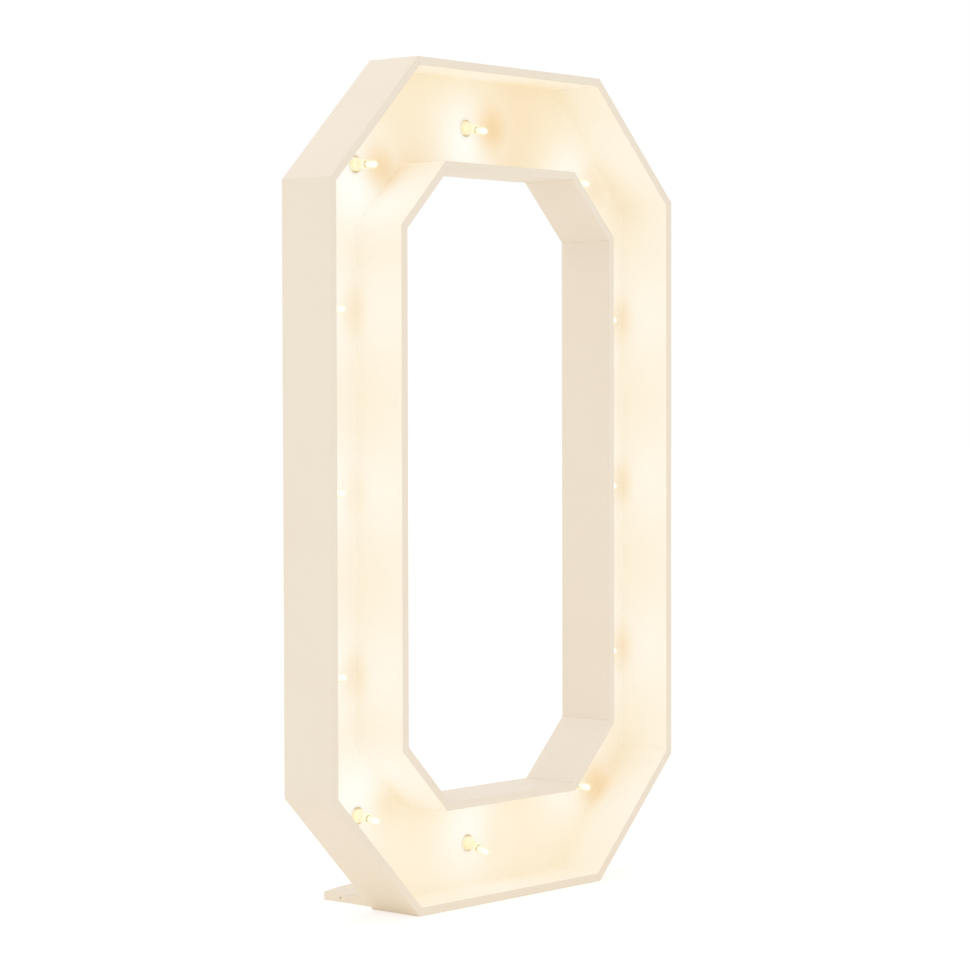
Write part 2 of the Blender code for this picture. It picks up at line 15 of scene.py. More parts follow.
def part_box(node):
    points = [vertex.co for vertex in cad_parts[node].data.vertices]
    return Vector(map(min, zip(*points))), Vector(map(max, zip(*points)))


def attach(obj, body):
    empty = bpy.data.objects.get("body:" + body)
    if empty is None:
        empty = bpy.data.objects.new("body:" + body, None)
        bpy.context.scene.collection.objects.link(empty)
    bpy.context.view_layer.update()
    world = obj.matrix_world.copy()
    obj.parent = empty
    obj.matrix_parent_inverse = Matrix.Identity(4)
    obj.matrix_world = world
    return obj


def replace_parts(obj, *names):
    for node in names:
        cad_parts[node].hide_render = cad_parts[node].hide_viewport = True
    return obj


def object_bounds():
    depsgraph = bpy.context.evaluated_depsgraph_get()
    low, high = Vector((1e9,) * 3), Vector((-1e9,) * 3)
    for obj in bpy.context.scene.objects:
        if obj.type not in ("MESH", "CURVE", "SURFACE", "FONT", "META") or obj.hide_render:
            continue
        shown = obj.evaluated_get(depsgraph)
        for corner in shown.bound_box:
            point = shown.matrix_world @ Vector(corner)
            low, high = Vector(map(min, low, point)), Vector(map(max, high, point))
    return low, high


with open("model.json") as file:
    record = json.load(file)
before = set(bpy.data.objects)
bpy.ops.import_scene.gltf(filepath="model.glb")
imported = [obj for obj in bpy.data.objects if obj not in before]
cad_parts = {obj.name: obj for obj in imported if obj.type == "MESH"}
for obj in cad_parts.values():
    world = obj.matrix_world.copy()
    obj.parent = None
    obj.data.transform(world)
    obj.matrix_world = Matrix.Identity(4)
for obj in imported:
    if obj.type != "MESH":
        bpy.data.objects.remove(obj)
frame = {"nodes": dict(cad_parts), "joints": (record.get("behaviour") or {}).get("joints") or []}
cad_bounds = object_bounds()


# Camera, at the photograph's angle: a long lens to the left of the number, a little over half its height.
# Its place was found by fitting the number's straight edges.
CAMERA_PLACE = (-3.2837, -2.8375, 0.7297)
CAMERA_YAW = 0.85695
CAMERA_PITCH = -0.03021
CAMERA_ROLL = -0.00224
CAMERA_LENS_MM = 110.81
CAMERA_FAR = 100

camera_data = bpy.data.cameras.new("camera")
camera_data.lens = CAMERA_LENS_MM
camera_data.clip_end = CAMERA_FAR
camera = bpy.data.objects.new("camera", camera_data)
turn = Matrix.Rotation(-CAMERA_YAW, 4, "Z") @ Matrix.Rotation(math.radians(90) + CAMERA_PITCH, 4, "X")
camera.matrix_world = Matrix.Translation(CAMERA_PLACE) @ turn @ Matrix.Rotation(CAMERA_ROLL, 4, "Z")
bpy.context.scene.collection.objects.link(camera)
bpy.context.scene.camera = camera
bpy.context.scene.view_settings.view_transform = "Standard"


# Studio: a white surround lights the number evenly, and a large softbox hangs above it, a little behind.
# The floor is pale, shows as white and keeps the number's soft shadow. Round the foot it throws a little
# warm light back up.
SURROUND_STRENGTH = 1.00
SOFTBOX_PLACE = (-0.8, 0.9, 4.4)
SOFTBOX_SIZE = 2.4
SOFTBOX_POWER = 12
FLOOR_SIZE = 60
FLOOR_COLOUR = (0.99, 0.97, 0.93)
FLOOR_ROUGHNESS = 0.9
FLOOR_GLOW = 0.58
FLOOR_SHADE = (0.50, 0.49, 0.48)
FLOOR_SPILL = (0.116, 0.094, 0.055)
SPILL_SIDES = (0.26, 0.46)
SPILL_DEPTH = (0.08, 0.26)
WHITE = (1, 1, 1)
DARK = (0, 0, 0)
CLOUD_EDGES = (0.4, 0.7)


class Term:
    """A value in a node tree, on which Python's operators add nodes."""

    def __init__(self, nodes, socket):
        self.nodes = nodes
        self.socket = socket

    def math(self, operation, *others):
        return self.nodes.node("Math", {"operation": operation}, self, *others)

    def __add__(self, other):
        return self.math("ADD", other)

    def __sub__(self, other):
        return self.math("SUBTRACT", other)

    def __mul__(self, other):
        return self.math("MULTIPLY", other)

    def __truediv__(self, other):
        return self.math("DIVIDE", other)

    def __rsub__(self, other):
        return self.nodes.node("Math", {"operation": "SUBTRACT"}, other, self)

    __radd__ = __add__
    __rmul__ = __mul__

    def __abs__(self):
        return self.math("ABSOLUTE")

    def least(self, other):
        return self.math("MINIMUM", other)

    def most(self, other):
        return self.math("MAXIMUM", other)

    def fade(self, start, end):
        """0 at start and 1 at end, with a smooth step between."""
        return self.nodes.node("MapRange", {"interpolation_type": "SMOOTHSTEP"}, self, start, end)


class Nodes:
    """A node tree that a material or the world reads."""

    def __init__(self, owner):
        owner.use_nodes = True
        self.tree = owner.node_tree

    def node(self, kind, settings=None, *inputs, output=0, **named):
        """Adds a node of a kind, sets it up, feeds its sockets by order or by name, and gives one output."""
        node = self.tree.nodes.new("ShaderNode" + kind)
        for key, value in (settings or {}).items():
            setattr(node, key, value)
        feeds = list(enumerate(inputs)) + [(key.replace("_", " "), value) for key, value in named.items()]
        for key, value in feeds:
            self.feed(node.inputs[key], value)
        return Term(self, node.outputs[output])

    def feed(self, socket, value):
        if isinstance(value, Term):
            self.tree.links.new(value.socket, socket)
        elif socket.type == "RGBA":
            socket.default_value = (*value, 1.0)
        else:
            socket.default_value = value

    def colour(self, blend, share, first, second):
        """Blends two colours by a share."""
        node = self.node("Mix", {"data_type": "RGBA", "blend_type": blend}).socket.node
        for socket, value in zip((node.inputs[0], node.inputs[6], node.inputs[7]), (share, first, second)):
            self.feed(socket, value)
        return Term(self, node.outputs[2])

    def surface(self, shader):
        output = next(node for node in self.tree.nodes if node.type.startswith("OUTPUT"))
        self.tree.links.new(shader.socket, output.inputs["Surface"])

    def seen(self):
        """1 on rays that come from the camera, or by way of metal or glass."""
        path = self.node("LightPath", output="Is Camera Ray")
        glossy = Term(self, path.socket.node.outputs["Is Glossy Ray"])
        through = Term(self, path.socket.node.outputs["Is Transmission Ray"])
        return path.most(glossy).most(through)


class Finish(Nodes):
    """A Principled material. Constants go on the shader's own sockets."""

    def __init__(self, name, **sockets):
        self.material = bpy.data.materials.new(name)
        super().__init__(self.material)
        self.shader = self.tree.nodes["Principled BSDF"]
        self.set(**sockets)

    def set(self, **sockets):
        for key, value in sockets.items():
            self.feed(self.shader.inputs[key.replace("_", " ")], value)

    def place(self):
        """The point on the object, as three values."""
        point = self.node("TexCoord", output="Object")
        split = self.node("SeparateXYZ", {}, point).socket.node
        return [Term(self, socket) for socket in split.outputs]

    def noise(self, scale, detail=2, stretch=(1, 1, 1)):
        """Cloudy values about 0.5, of a size given by scale, drawn out by stretch."""
        point = self.node("TexCoord", output="Object")
        point = self.node("Mapping", {}, point, Scale=stretch)
        return self.node("TexNoise", {}, Vector=point, Scale=scale, Detail=detail)

    def mottle(self, first, second, scale, detail=2):
        """Drifts between two colours in soft clouds."""
        clouds = self.noise(scale, detail).fade(*CLOUD_EDGES)
        self.set(Base_Color=self.colour("MIX", clouds, first, second))

    def wear(self, smoothest, spread, scale, detail=2, stretch=(1, 1, 1)):
        """Varies the roughness, upwards from the smoothest."""
        self.set(Roughness=smoothest + self.noise(scale, detail, stretch) * spread)

    def bump(self, height, distance, strength):
        self.set(Normal=self.node("Bump", {}, Strength=strength, Distance=distance, Height=height))


world = bpy.data.worlds.new("surround")
bpy.context.scene.world = world
surround = Nodes(world)
for node in list(surround.tree.nodes):
    if node.type != "OUTPUT_WORLD":
        surround.tree.nodes.remove(node)
light = surround.node("Background", {}, WHITE, SURROUND_STRENGTH)
white = surround.node("Background", {}, WHITE, 1.0)
surround.surface(surround.node("MixShader", {}, surround.seen(), light, white))

softbox_data = bpy.data.lights.new("softbox", "AREA")
softbox_data.size = SOFTBOX_SIZE
softbox_data.energy = SOFTBOX_POWER
softbox = bpy.data.objects.new("softbox", softbox_data)
softbox.location = SOFTBOX_PLACE
number_middle = (cad_bounds[0] + cad_bounds[1]) / 2
softbox.rotation_euler = (number_middle - softbox.location).to_track_quat("-Z", "Y").to_euler()
bpy.context.scene.collection.objects.link(softbox)

bm = bmesh.new()
bmesh.ops.create_grid(bm, x_segments=1, y_segments=1, size=FLOOR_SIZE / 2)
floor_mesh = bpy.data.meshes.new("floor")
bm.to_mesh(floor_mesh)
bm.free()
floor = bpy.data.objects.new("floor", floor_mesh)
bpy.context.scene.collection.objects.link(floor)
floor_finish = Finish(
    "floor_white", Base_Color=FLOOR_COLOUR, Roughness=FLOOR_ROUGHNESS, Specular_IOR_Level=0.0,
    Emission_Strength=1.0)
x, y, z = floor_finish.place()
beside_foot = (1 - abs(x).fade(*SPILL_SIDES)) * (1 - abs(y).fade(*SPILL_DEPTH))
floor_finish.set(Emission_Color=floor_finish.colour("MIX", beside_foot, DARK, FLOOR_SPILL))
shade = floor_finish.node("BsdfDiffuse", {}, FLOOR_SHADE)
glow = floor_finish.node("Emission", {}, WHITE, FLOOR_GLOW)
shown = floor_finish.node("AddShader", {}, shade, glow)
plain = Term(floor_finish, floor_finish.shader.outputs[0])
floor_finish.surface(floor_finish.node("MixShader", {}, floor_finish.seen(), plain, shown))
floor_mesh.materials.append(floor_finish.material)


# Boards: 12 mm walls, base and a 3 mm back panel in satin ivory paint, rolled on.
# In the channel it carries painted lamplight: its colour is paler there and amber beside each lamp, and
# its glow is pale near a lamp, amber beside it, dimmer at the top. The shares fit that light to each leg
# and end of the number.
BOARD = 0.012
BAND = 0.154
CORNER_CUT = 0.176
FACE = 0.043
IVORY = (0.842, 0.754, 0.636)
IVORY_DEEP = (0.823, 0.729, 0.605)
IVORY_CLOUD = 7
IVORY_EDGES = (0.35, 0.75)
IVORY_SHARE = 0.5
CHANNEL_LAMPLIT_IVORY = (0.870, 0.800, 0.710)
CHANNEL_EDGE = (0.0002, 0.0008)
LIP_EDGE = (0.0004, 0.0014)
PANEL_EDGE = (0.001, 0.002)
AMBER_LIGHT_TINT = (0.97, 0.90, 0.66)
PAINT_SMOOTHEST = 0.44
PAINT_SPREAD = 0.16
STIPPLE_SCALE = 700
ROLLER_SCALE = 140
ROLLER_SHARE = 0.6
LIGHT_LEGS = (0.142, 0.149, 0.126)
LIGHT_FOOT = (0.149, 0.134, 0.082)
LIGHT_TOP = (0.133, 0.109, 0.034)
LIGHT_POOL = (0.185, 0.298, 0.397)
LIGHT_AMBER = (0.105, 0.030, 0.0)
BULB_DEPTH = 0.010
POOL_REACH = 0.045
POOL_DRAW = 0.018
POOL_LOW_LOSS = 0.2
LEVEL_OF_ENDS = 0.30
AMBER_SHIFT = 0.060
AMBER_REACH = 0.026
AMBER_WIDE_SHIFT = 0.115
AMBER_WIDE_REACH = 0.050
AMBER_WIDE_SHARE = 0.42
AMBER_FLATNESS = 3.0
AMBER_LEGS = 0.36
AMBER_LEGS_LEAN = 0.13
AMBER_LEFT_ENDS = 0.30
AMBER_LIFT_TOP = 0.003
AMBER_LIFT_LEGS = -0.003
AMBER_RIGHT_DROP = 0.016
AMBER_TOP_RIGHT_LOSS = 0.45
AMBER_LOW_RIGHT_GAIN = 0.4
AMBER_LOW_LOSS = 0.8
AMBER_RIGHT_LEAVE = 0.7
FOOT_FADE = (0.09, 0.24)
RIGHT_PALE = (0.18, 0.27)
RIGHT_PALE_SHARE = 0.65
LEFT_PALE = (-0.06, 0.02)
LEFT_PALE_RISE = (1.06, 1.14)
LEFT_PALE_SHARE = 0.75
TOP_FADE = (0.95, 1.08)
LEFT_END = (-0.12, -0.05)
TOP_LEFT_DROP = 0.008
TOP_LEFT_DRAW = 0.010

lowest, highest = cad_bounds
HALF_WIDTH = (highest.x - lowest.x) / 2
HALF_HEIGHT = (highest.z - lowest.z) / 2
FRONT = lowest.y
lamp_joints = {
    joint["child"].removeprefix("bulb_"): joint
    for joint in frame["joints"] if joint["child"].startswith("bulb_")
}
lamp_spots = {name: Vector(joint["pos_m"]) for name, joint in lamp_joints.items()}
lamp_middle = lamp_spots["left_middle"].z
folded_spots = sorted({
    (round(abs(spot.x), 4), round(abs(spot.z - lamp_middle), 4)) for spot in lamp_spots.values()
})

paint = Finish("ivory_paint", Specular_IOR_Level=0.35, Emission_Strength=1.0)
x, y, z = paint.place()
across = abs(x)
rise = abs(z - HALF_HEIGHT)
cut_line = (HALF_WIDTH + HALF_HEIGHT - CORNER_CUT) - across - rise
inset = (HALF_WIDTH - across).least(HALF_HEIGHT - rise).least(cut_line / math.sqrt(2))
edge_near, edge_far = CHANNEL_EDGE
in_walls = inset.fade(BOARD - edge_far, BOARD - edge_near)
in_walls = in_walls * (1 - inset.fade(BAND - BOARD + edge_near, BAND - BOARD + edge_far))
in_channel = in_walls * y.fade(*(FRONT + edge for edge in LIP_EDGE))
in_channel = in_channel * (1 - y.fade(*(FACE + edge for edge in PANEL_EDGE)))

side = x.math("SIGN")
level = abs(z - lamp_middle)
at_top = z.fade(*TOP_FADE)
at_right = x.fade(*RIGHT_PALE)
at_foot = 1 - z.fade(*FOOT_FADE)
to_panel = y.fade(0, FACE)
left_pale = (1 - x.fade(*LEFT_PALE)) * (1 - z.fade(*LEFT_PALE_RISE)) * LEFT_PALE_SHARE
dim_top = at_top * to_panel * (1 - at_right * RIGHT_PALE_SHARE) * (1 - left_pale)
top_left = (1 - x.fade(*LEFT_END)) * at_top


def nearness(shift, depth, reach, flatness=1.0, lift=0.0, draw=0.0):
    """How near a point is to the closest lamp: 1 there, 0 far away.

    The lamps are taken as moved sideways by shift, up by lift and, at the number's two ends, in by draw.
    """
    closest = None
    lifted = abs(z - lamp_middle - lift)
    for spot_x, spot_z in folded_spots:
        sideways = (across - spot_x) * side - shift
        upwards = lifted - (spot_z - draw if spot_z > LEVEL_OF_ENDS else spot_z)
        distance = sideways * sideways + upwards * upwards
        closest = distance if closest is None else closest.least(distance)
    inwards = y - depth
    return ((closest + inwards * inwards * flatness) * (-0.5 / reach ** 2)).math("EXPONENT")


pool = nearness(0, BULB_DEPTH, POOL_REACH, draw=POOL_DRAW) * (1 - at_foot * POOL_LOW_LOSS)
amber_lift = at_top * (AMBER_LIFT_TOP - AMBER_LIFT_LEGS - at_right * AMBER_RIGHT_DROP) + AMBER_LIFT_LEGS
amber_lift = amber_lift - top_left * TOP_LEFT_DROP
amber_shift = AMBER_SHIFT - top_left * TOP_LEFT_DRAW
amber = nearness(amber_shift, FACE, AMBER_REACH, AMBER_FLATNESS, amber_lift)
amber_wide = nearness(AMBER_WIDE_SHIFT, FACE, AMBER_WIDE_REACH, AMBER_FLATNESS, amber_lift)
amber = amber.most(amber_wide * AMBER_WIDE_SHARE)
amber_top = at_top * (1 - at_right * AMBER_TOP_RIGHT_LOSS)
amber_legs = AMBER_LEGS + side * AMBER_LEGS_LEAN + (1 - side) * level * AMBER_LEFT_ENDS
amber_legs = amber_legs + at_right * at_foot * AMBER_LOW_RIGHT_GAIN
amber_most = 1 - at_foot * AMBER_LOW_LOSS + at_right * AMBER_RIGHT_LEAVE
amber = amber * amber_legs.most(amber_top).least(amber_most)
lamp_light = paint.colour("MIX", at_foot * to_panel, LIGHT_LEGS, LIGHT_FOOT)
lamp_light = paint.colour("MIX", dim_top, lamp_light, LIGHT_TOP)
lamp_light = paint.colour("MIX", pool, lamp_light, LIGHT_POOL)
lamp_light = paint.colour("MIX", amber, lamp_light, LIGHT_AMBER)
channel_mask = paint.node("CombineXYZ", {}, in_channel, in_channel, in_channel)
paint.set(Emission_Color=paint.colour("MULTIPLY", 1.0, lamp_light, channel_mask))
clouds = paint.noise(IVORY_CLOUD, 3).fade(*IVORY_EDGES) * IVORY_SHARE
coat_and_lamplight = paint.colour("MIX", clouds, IVORY, IVORY_DEEP)
# Painted lamplight: the paint shows paler inside the channel.
coat_and_lamplight = paint.colour("MIX", in_channel, coat_and_lamplight, CHANNEL_LAMPLIT_IVORY)
# Painted light: beside each lamp the colour turns amber, where the glow is amber too.
paint.set(Base_Color=paint.colour("MULTIPLY", amber * in_channel, coat_and_lamplight, AMBER_LIGHT_TINT))
stipple = paint.noise(STIPPLE_SCALE)
paint.set(Roughness=PAINT_SMOOTHEST + stipple * PAINT_SPREAD)
paint.bump(stipple + paint.noise(ROLLER_SCALE, 1) * ROLLER_SHARE, distance=0.00012, strength=0.35)

for name, node in frame["nodes"].items():
    if name.startswith(("outer_wall", "inner_wall", "base_board", "back_panel")):
        node.data.materials.clear()
        node.data.materials.append(paint.material)


# Filler: fine stopping in the mitres, sanded flush, a plug at each end of the base board's rebate, and a
# small cove all along the panel's edges in the channel. It's painted with the boards, so that no joint
# shows from the front.
PANEL = 0.003
BACK = FACE + PANEL
GAP = 0.0003
REBATE = 0.006
ARRIS = 0.0008
COVE = 0.0022
COVE_STEPS = 5
OVERLAP = 0.0002
FLUSH = 0.0001
FILLER_THICKNESS = GAP + OVERLAP / 4
CREASE = math.radians(32)


def octagon(line_inset):
    """The number's eight corners, drawn in by an inset, as (x, z)."""
    reach_x, reach_z = HALF_WIDTH - line_inset, HALF_HEIGHT - line_inset
    slant = HALF_WIDTH + HALF_HEIGHT - CORNER_CUT - line_inset * math.sqrt(2)
    half = [
        (slant - reach_z, -reach_z), (reach_x, reach_x - slant),
        (reach_x, slant - reach_x), (slant - reach_z, reach_z),
    ]
    return [(x, z + HALF_HEIGHT) for x, z in half + [(-x, -z) for x, z in half]]


def block(size, aim=Matrix.Identity(4)):
    """A box of a size, turned and placed by aim."""
    bm = bmesh.new()
    bmesh.ops.create_cube(bm, size=1, matrix=aim @ Matrix.Diagonal((*size, 1)))
    return bm


def eased(bm, edges, offset, segments=1):
    """Takes the corner off some edges, or rounds them with more segments."""
    bmesh.ops.bevel(
        bm, geom=edges, offset=offset, offset_type="OFFSET", affect="EDGES", segments=segments, profile=0.5,
        material=-1)


def extruded(bm, outline, reach):
    """Fills an outline in, and draws it out by a vector."""
    face = bm.faces.new([bm.verts.new(point) for point in outline])
    made = bmesh.ops.extrude_face_region(bm, geom=[face])["geom"]
    verts = [part for part in made if isinstance(part, bmesh.types.BMVert)]
    bmesh.ops.translate(bm, verts=verts, vec=reach)


def absorbed(bm, other):
    """Adds another shape's faces to a shape, and frees the other."""
    mesh = bpy.data.meshes.new("other")
    other.to_mesh(mesh)
    other.free()
    bm.from_mesh(mesh)
    bpy.data.meshes.remove(mesh)


def thing_of(name, bm):
    mesh = bpy.data.meshes.new(name)
    bm.to_mesh(mesh)
    bm.free()
    thing = bpy.data.objects.new(name, mesh)
    bpy.context.scene.collection.objects.link(thing)
    return thing


def fitted(name, bm, finish, body, slot, *nodes):
    """Makes a shape a piece that rides on a body and stands for nodes of the solid model."""
    for face in bm.faces:
        face.smooth = True
    piece = thing_of(name, bm)
    piece.data.set_sharp_from_angle(angle=CREASE)
    piece.data.materials.append(finish.material)
    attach(piece, body)
    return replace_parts(piece, *nodes) if nodes else piece


bm = bmesh.new()
for shell, channel, rebate in (
        (FLUSH, BOARD, BOARD - REBATE), (BAND - FLUSH, BAND - BOARD, BAND - BOARD + REBATE)):
    for far, front, rear in ((channel, -BACK, FACE - GAP), (rebate, FACE - GAP - ARRIS, BACK)):
        for (x, z), (x_far, z_far) in zip(octagon(shell), octagon(far)):
            plate = block((math.hypot(x_far - x, z_far - z), rear - front, FILLER_THICKNESS))
            edges = [edge for edge in plate.edges if abs(edge.verts[0].co.z - edge.verts[1].co.z) > GAP / 2]
            if far == channel:
                edges = [edge for edge in edges if edge.verts[0].co.y < 0]
            eased(plate, edges, ARRIS)
            aim = Matrix.Translation(((x + x_far) / 2, (front + rear) / 2, (z + z_far) / 2))
            plate.transform(aim @ Matrix.Rotation(-math.atan2(z_far - z, x_far - x), 4, "Y"))
            absorbed(bm, plate)
for corner, outwards in ((0, 1), (-1, -1)):
    edge_corner, rebate_corner = octagon(BOARD)[corner], octagon(BOARD - REBATE)[corner]
    outline = (edge_corner, rebate_corner, (rebate_corner[0] + REBATE * outwards, BOARD))
    extruded(bm, [(x, FACE, z) for x, z in outline], (0, PANEL - OVERLAP, 0))
bmesh.ops.recalc_face_normals(bm, faces=bm.faces)
fitted("mitre_filler", bm, paint, "sign", "painted_wood")

for name, edge_inset, into in (("outer", BOARD, 1), ("inner", BAND - BOARD, -1)):
    section = [(edge_inset - OVERLAP * into, FACE + OVERLAP), (edge_inset - OVERLAP * into, FACE - COVE)]
    for step in range(COVE_STEPS + 1):
        angle = math.radians(90) * step / COVE_STEPS
        along, deep = COVE * (1 - math.cos(angle)), COVE * (1 - math.sin(angle))
        section.append((edge_inset + into * along, FACE - deep))
    section.append((edge_inset + into * COVE, FACE + OVERLAP))
    bm = bmesh.new()
    rings = []
    for line_inset, depth in section:
        verts = [bm.verts.new((x, depth, z)) for x, z in octagon(line_inset)]
        rings.append([bm.edges.new(pair) for pair in zip(verts, verts[1:] + verts[:1])])
    for ring, after in zip(rings, rings[1:] + rings[:1]):
        bmesh.ops.bridge_loops(bm, edges=ring + after)
    bmesh.ops.recalc_face_normals(bm, faces=bm.faces)
    fitted("cove_" + name, bm, paint, "sign", "painted_wood")


# Lamp holders: one cream plastic moulding each. Its round body straddles the cable behind the panel, its
# threaded barrel passes through the panel, and its slimmer neck leans down to the bulb's mouth. The cream
# carries a painted warm glow, the bulbs' light, strongest at the panel and at the mouth.
HOLDER_CREAM = (0.86, 0.82, 0.64)
HOLDER_SHADE = (0.82, 0.76, 0.57)
HOLDER_LAMPLIGHT = (0.20, 0.21, 0.14)
ROOT_LAMPLIGHT = (0.36, 0.34, 0.24)
ROOT_GLOW = (-0.010, -0.002)
MOUTH_GLOW = (-0.020, -0.018)
REAR_FADE = 0.002
BARREL_REACH = 0.0045
BODY_RADIUS = 0.010
BODY_LENGTH = 0.012
BODY_ROUND = 0.0015
BODY_SEAM = ((0.38, 0), (0.40, 0.0003), (0.43, 0.0003), (0.45, 0))
DISH_RADIUS = 0.0055
DISH_DEPTH = 0.0007
BARREL_RADIUS = 0.0075
THREAD_DEPTH = 0.0004
THREAD_PITCH = 0.0011
THREAD_TURNS = 6
THREAD_SHARES = ((0, 1), (0.3, 0), (0.5, 0), (0.8, 1))
NECK_RADIUS = 0.0065
NECK_FOOT = 0.0006
NECK_BAND = ((0.0070, 0), (0.0072, 0.0004), (0.0078, 0.0004), (0.0080, 0))
NECK_STOP = 0.0124
NECK_LENGTH = 0.0168
SOCKET_RADIUS = 0.0052
SOCKET_DEPTH = 0.0143
MOUTH_ROUND = 0.0006
FINE_ROUND = 0.0002
SMALL_ROUND = 0.0003
LEAN_START = -0.0005
LEAN_END = 0.0025
CABLE_RADIUS = 0.0022
CABLE_SLOT_LENGTH = 0.024
CABLE_ABOVE_BOX = 0.044
CABLE_BELOW_BOX = 0.055
LAMP_STEPS = 40
ROUND_STEPS = 4
DOUBLE = 1e-7


def turned(profile, steps=LAMP_STEPS, closed=False, aim=Matrix.Identity(4)):
    """Spins points of (distance along Y, radius, rounding) into a solid, and aims it."""
    bm = bmesh.new()
    verts = [bm.verts.new((point[1], point[0], 0)) for point in profile]
    pairs = list(zip(verts, verts[1:] + verts[:1]))
    for pair in pairs if closed else pairs[:-1]:
        bm.edges.new(pair)
    for vert, point in zip(verts, profile):
        if len(point) == 3:
            bmesh.ops.bevel(
                bm, geom=[vert], offset=point[2], offset_type="OFFSET", affect="VERTICES",
                segments=ROUND_STEPS, profile=0.5, material=-1)
    bmesh.ops.spin(
        bm, geom=bm.verts[:] + bm.edges[:], axis=(0, 1, 0), cent=(0, 0, 0), angle=math.tau, steps=steps,
        use_merge=True)
    bmesh.ops.remove_doubles(bm, verts=bm.verts, dist=DOUBLE)
    bmesh.ops.recalc_face_normals(bm, faces=bm.faces)
    bm.transform(aim)
    return bm


def joined(bm, other, operation="DIFFERENCE"):
    """Cuts one closed shape out of another, or joins the two."""
    shape, tool = thing_of("shape", bm), thing_of("tool", other)
    modifier = shape.modifiers.new("cut", "BOOLEAN")
    modifier.operation = operation
    modifier.object = tool
    result = bmesh.new()
    result.from_object(shape, bpy.context.evaluated_depsgraph_get())
    for thing in (shape, tool):
        bpy.data.objects.remove(thing)
    return result


def lamp_aim(spot, droop=0.0):
    """Turns +Y to the front, at a lamp's bend, and down by its droop."""
    return Matrix.Translation(spot) @ Matrix.Rotation(droop, 4, "X") @ Matrix.Rotation(math.pi, 4, "Z")


holder_cream = Finish("holder_cream", Specular_IOR_Level=0.5, Emission_Strength=1.0)
holder_cream.mottle(HOLDER_CREAM, HOLDER_SHADE, scale=90, detail=3)
holder_cream.wear(smoothest=0.34, spread=0.18, scale=400)
holder_cream.bump(holder_cream.noise(scale=1500, detail=1), distance=0.00005, strength=0.25)
# Painted lamplight: a warm glow at the holder's root and mouth, none behind the panel.
depth = holder_cream.place()[1]
at_root = depth.fade(*(FACE + edge for edge in ROOT_GLOW))
at_mouth = 1 - depth.fade(*(FACE + edge for edge in MOUTH_GLOW))
holder_lamplight = holder_cream.colour("MIX", at_root.most(at_mouth), HOLDER_LAMPLIGHT, ROOT_LAMPLIGHT)
at_rear = depth.fade(FACE, FACE + REAR_FADE)
holder_cream.set(Emission_Color=holder_cream.colour("MIX", at_rear, holder_lamplight, DARK))

panel_rear = BARREL_REACH + PANEL + GAP
body_end = -panel_rear - BODY_LENGTH
thread = [
    (-panel_rear + GAP + (turn_count + along) * THREAD_PITCH, BARREL_RADIUS - THREAD_DEPTH * share)
    for turn_count in range(THREAD_TURNS) for along, share in THREAD_SHARES
]
holder_profile = [
    (body_end + DISH_DEPTH, 0), (body_end + DISH_DEPTH, DISH_RADIUS),
    (body_end, DISH_RADIUS + DISH_DEPTH / 2, FINE_ROUND), (body_end, BODY_RADIUS, BODY_ROUND),
    *((body_end + BODY_LENGTH * along, BODY_RADIUS - deep) for along, deep in BODY_SEAM),
    (-panel_rear, BODY_RADIUS, SMALL_ROUND), (-panel_rear, BARREL_RADIUS - THREAD_DEPTH), *thread,
    (0, BARREL_RADIUS - THREAD_DEPTH, FINE_ROUND), (NECK_FOOT, NECK_RADIUS, FINE_ROUND),
    *((along, NECK_RADIUS - deep) for along, deep in NECK_BAND), (NECK_STOP, NECK_RADIUS),
    (NECK_LENGTH, NECK_RADIUS, MOUTH_ROUND), (NECK_LENGTH, SOCKET_RADIUS, SMALL_ROUND),
    (NECK_LENGTH - SOCKET_DEPTH, SOCKET_RADIUS), (NECK_LENGTH - SOCKET_DEPTH, 0),
]
box_low, box_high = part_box("power_box")
box_middle = (box_low + box_high) / 2
LAMP_ORDER = (
    "top", "top_right", "right_upper", "right_middle", "right_lower", "bottom_right",
    "bottom", "bottom_left", "left_lower", "left_middle", "left_upper", "top_left",
)
route = {}
for name in LAMP_ORDER:
    route[name] = lamp_spots[name]
    if name == "right_middle":
        route["box_top"] = Vector((box_middle.x, 0, box_middle.z + CABLE_ABOVE_BOX))
        route["box_foot"] = Vector((box_middle.x, 0, box_middle.z - CABLE_BELOW_BOX))
stops = list(route.values())
courses = {}
for index, name in enumerate(route):
    step = stops[(index + 1) % len(stops)] - stops[index - 1]
    courses[name] = Vector((0, 0, -1)) if "box" in name else Vector((step.x, 0, step.z)).normalized()

lamp_droops = {
    name: math.atan2(-joint["axis"][2], -joint["axis"][1]) for name, joint in lamp_joints.items()
}
slot_size = (CABLE_RADIUS + GAP) * 2
for name in LAMP_ORDER:
    spot, course = lamp_spots[name], courses[name]
    bm = turned(holder_profile)
    bm.transform(Matrix.Rotation(math.pi, 4, "Z"))
    for vert in bm.verts:
        share = min(max((-vert.co.y - LEAN_START) / (LEAN_END - LEAN_START), 0), 1)
        vert.co = Matrix.Rotation(lamp_droops[name] * share, 3, "X") @ vert.co
    bm.transform(Matrix.Translation(spot))
    aim = Matrix.Translation((spot.x, BACK + slot_size / 2, spot.z))
    aim = aim @ Matrix.Rotation(-math.atan2(course.z, course.x), 4, "Y")
    bm = joined(bm, block((CABLE_SLOT_LENGTH, slot_size, slot_size), aim))
    fitted("holder_moulding_" + name, bm, holder_cream, "sign", "holder_plastic", "lamp_holder_" + name)


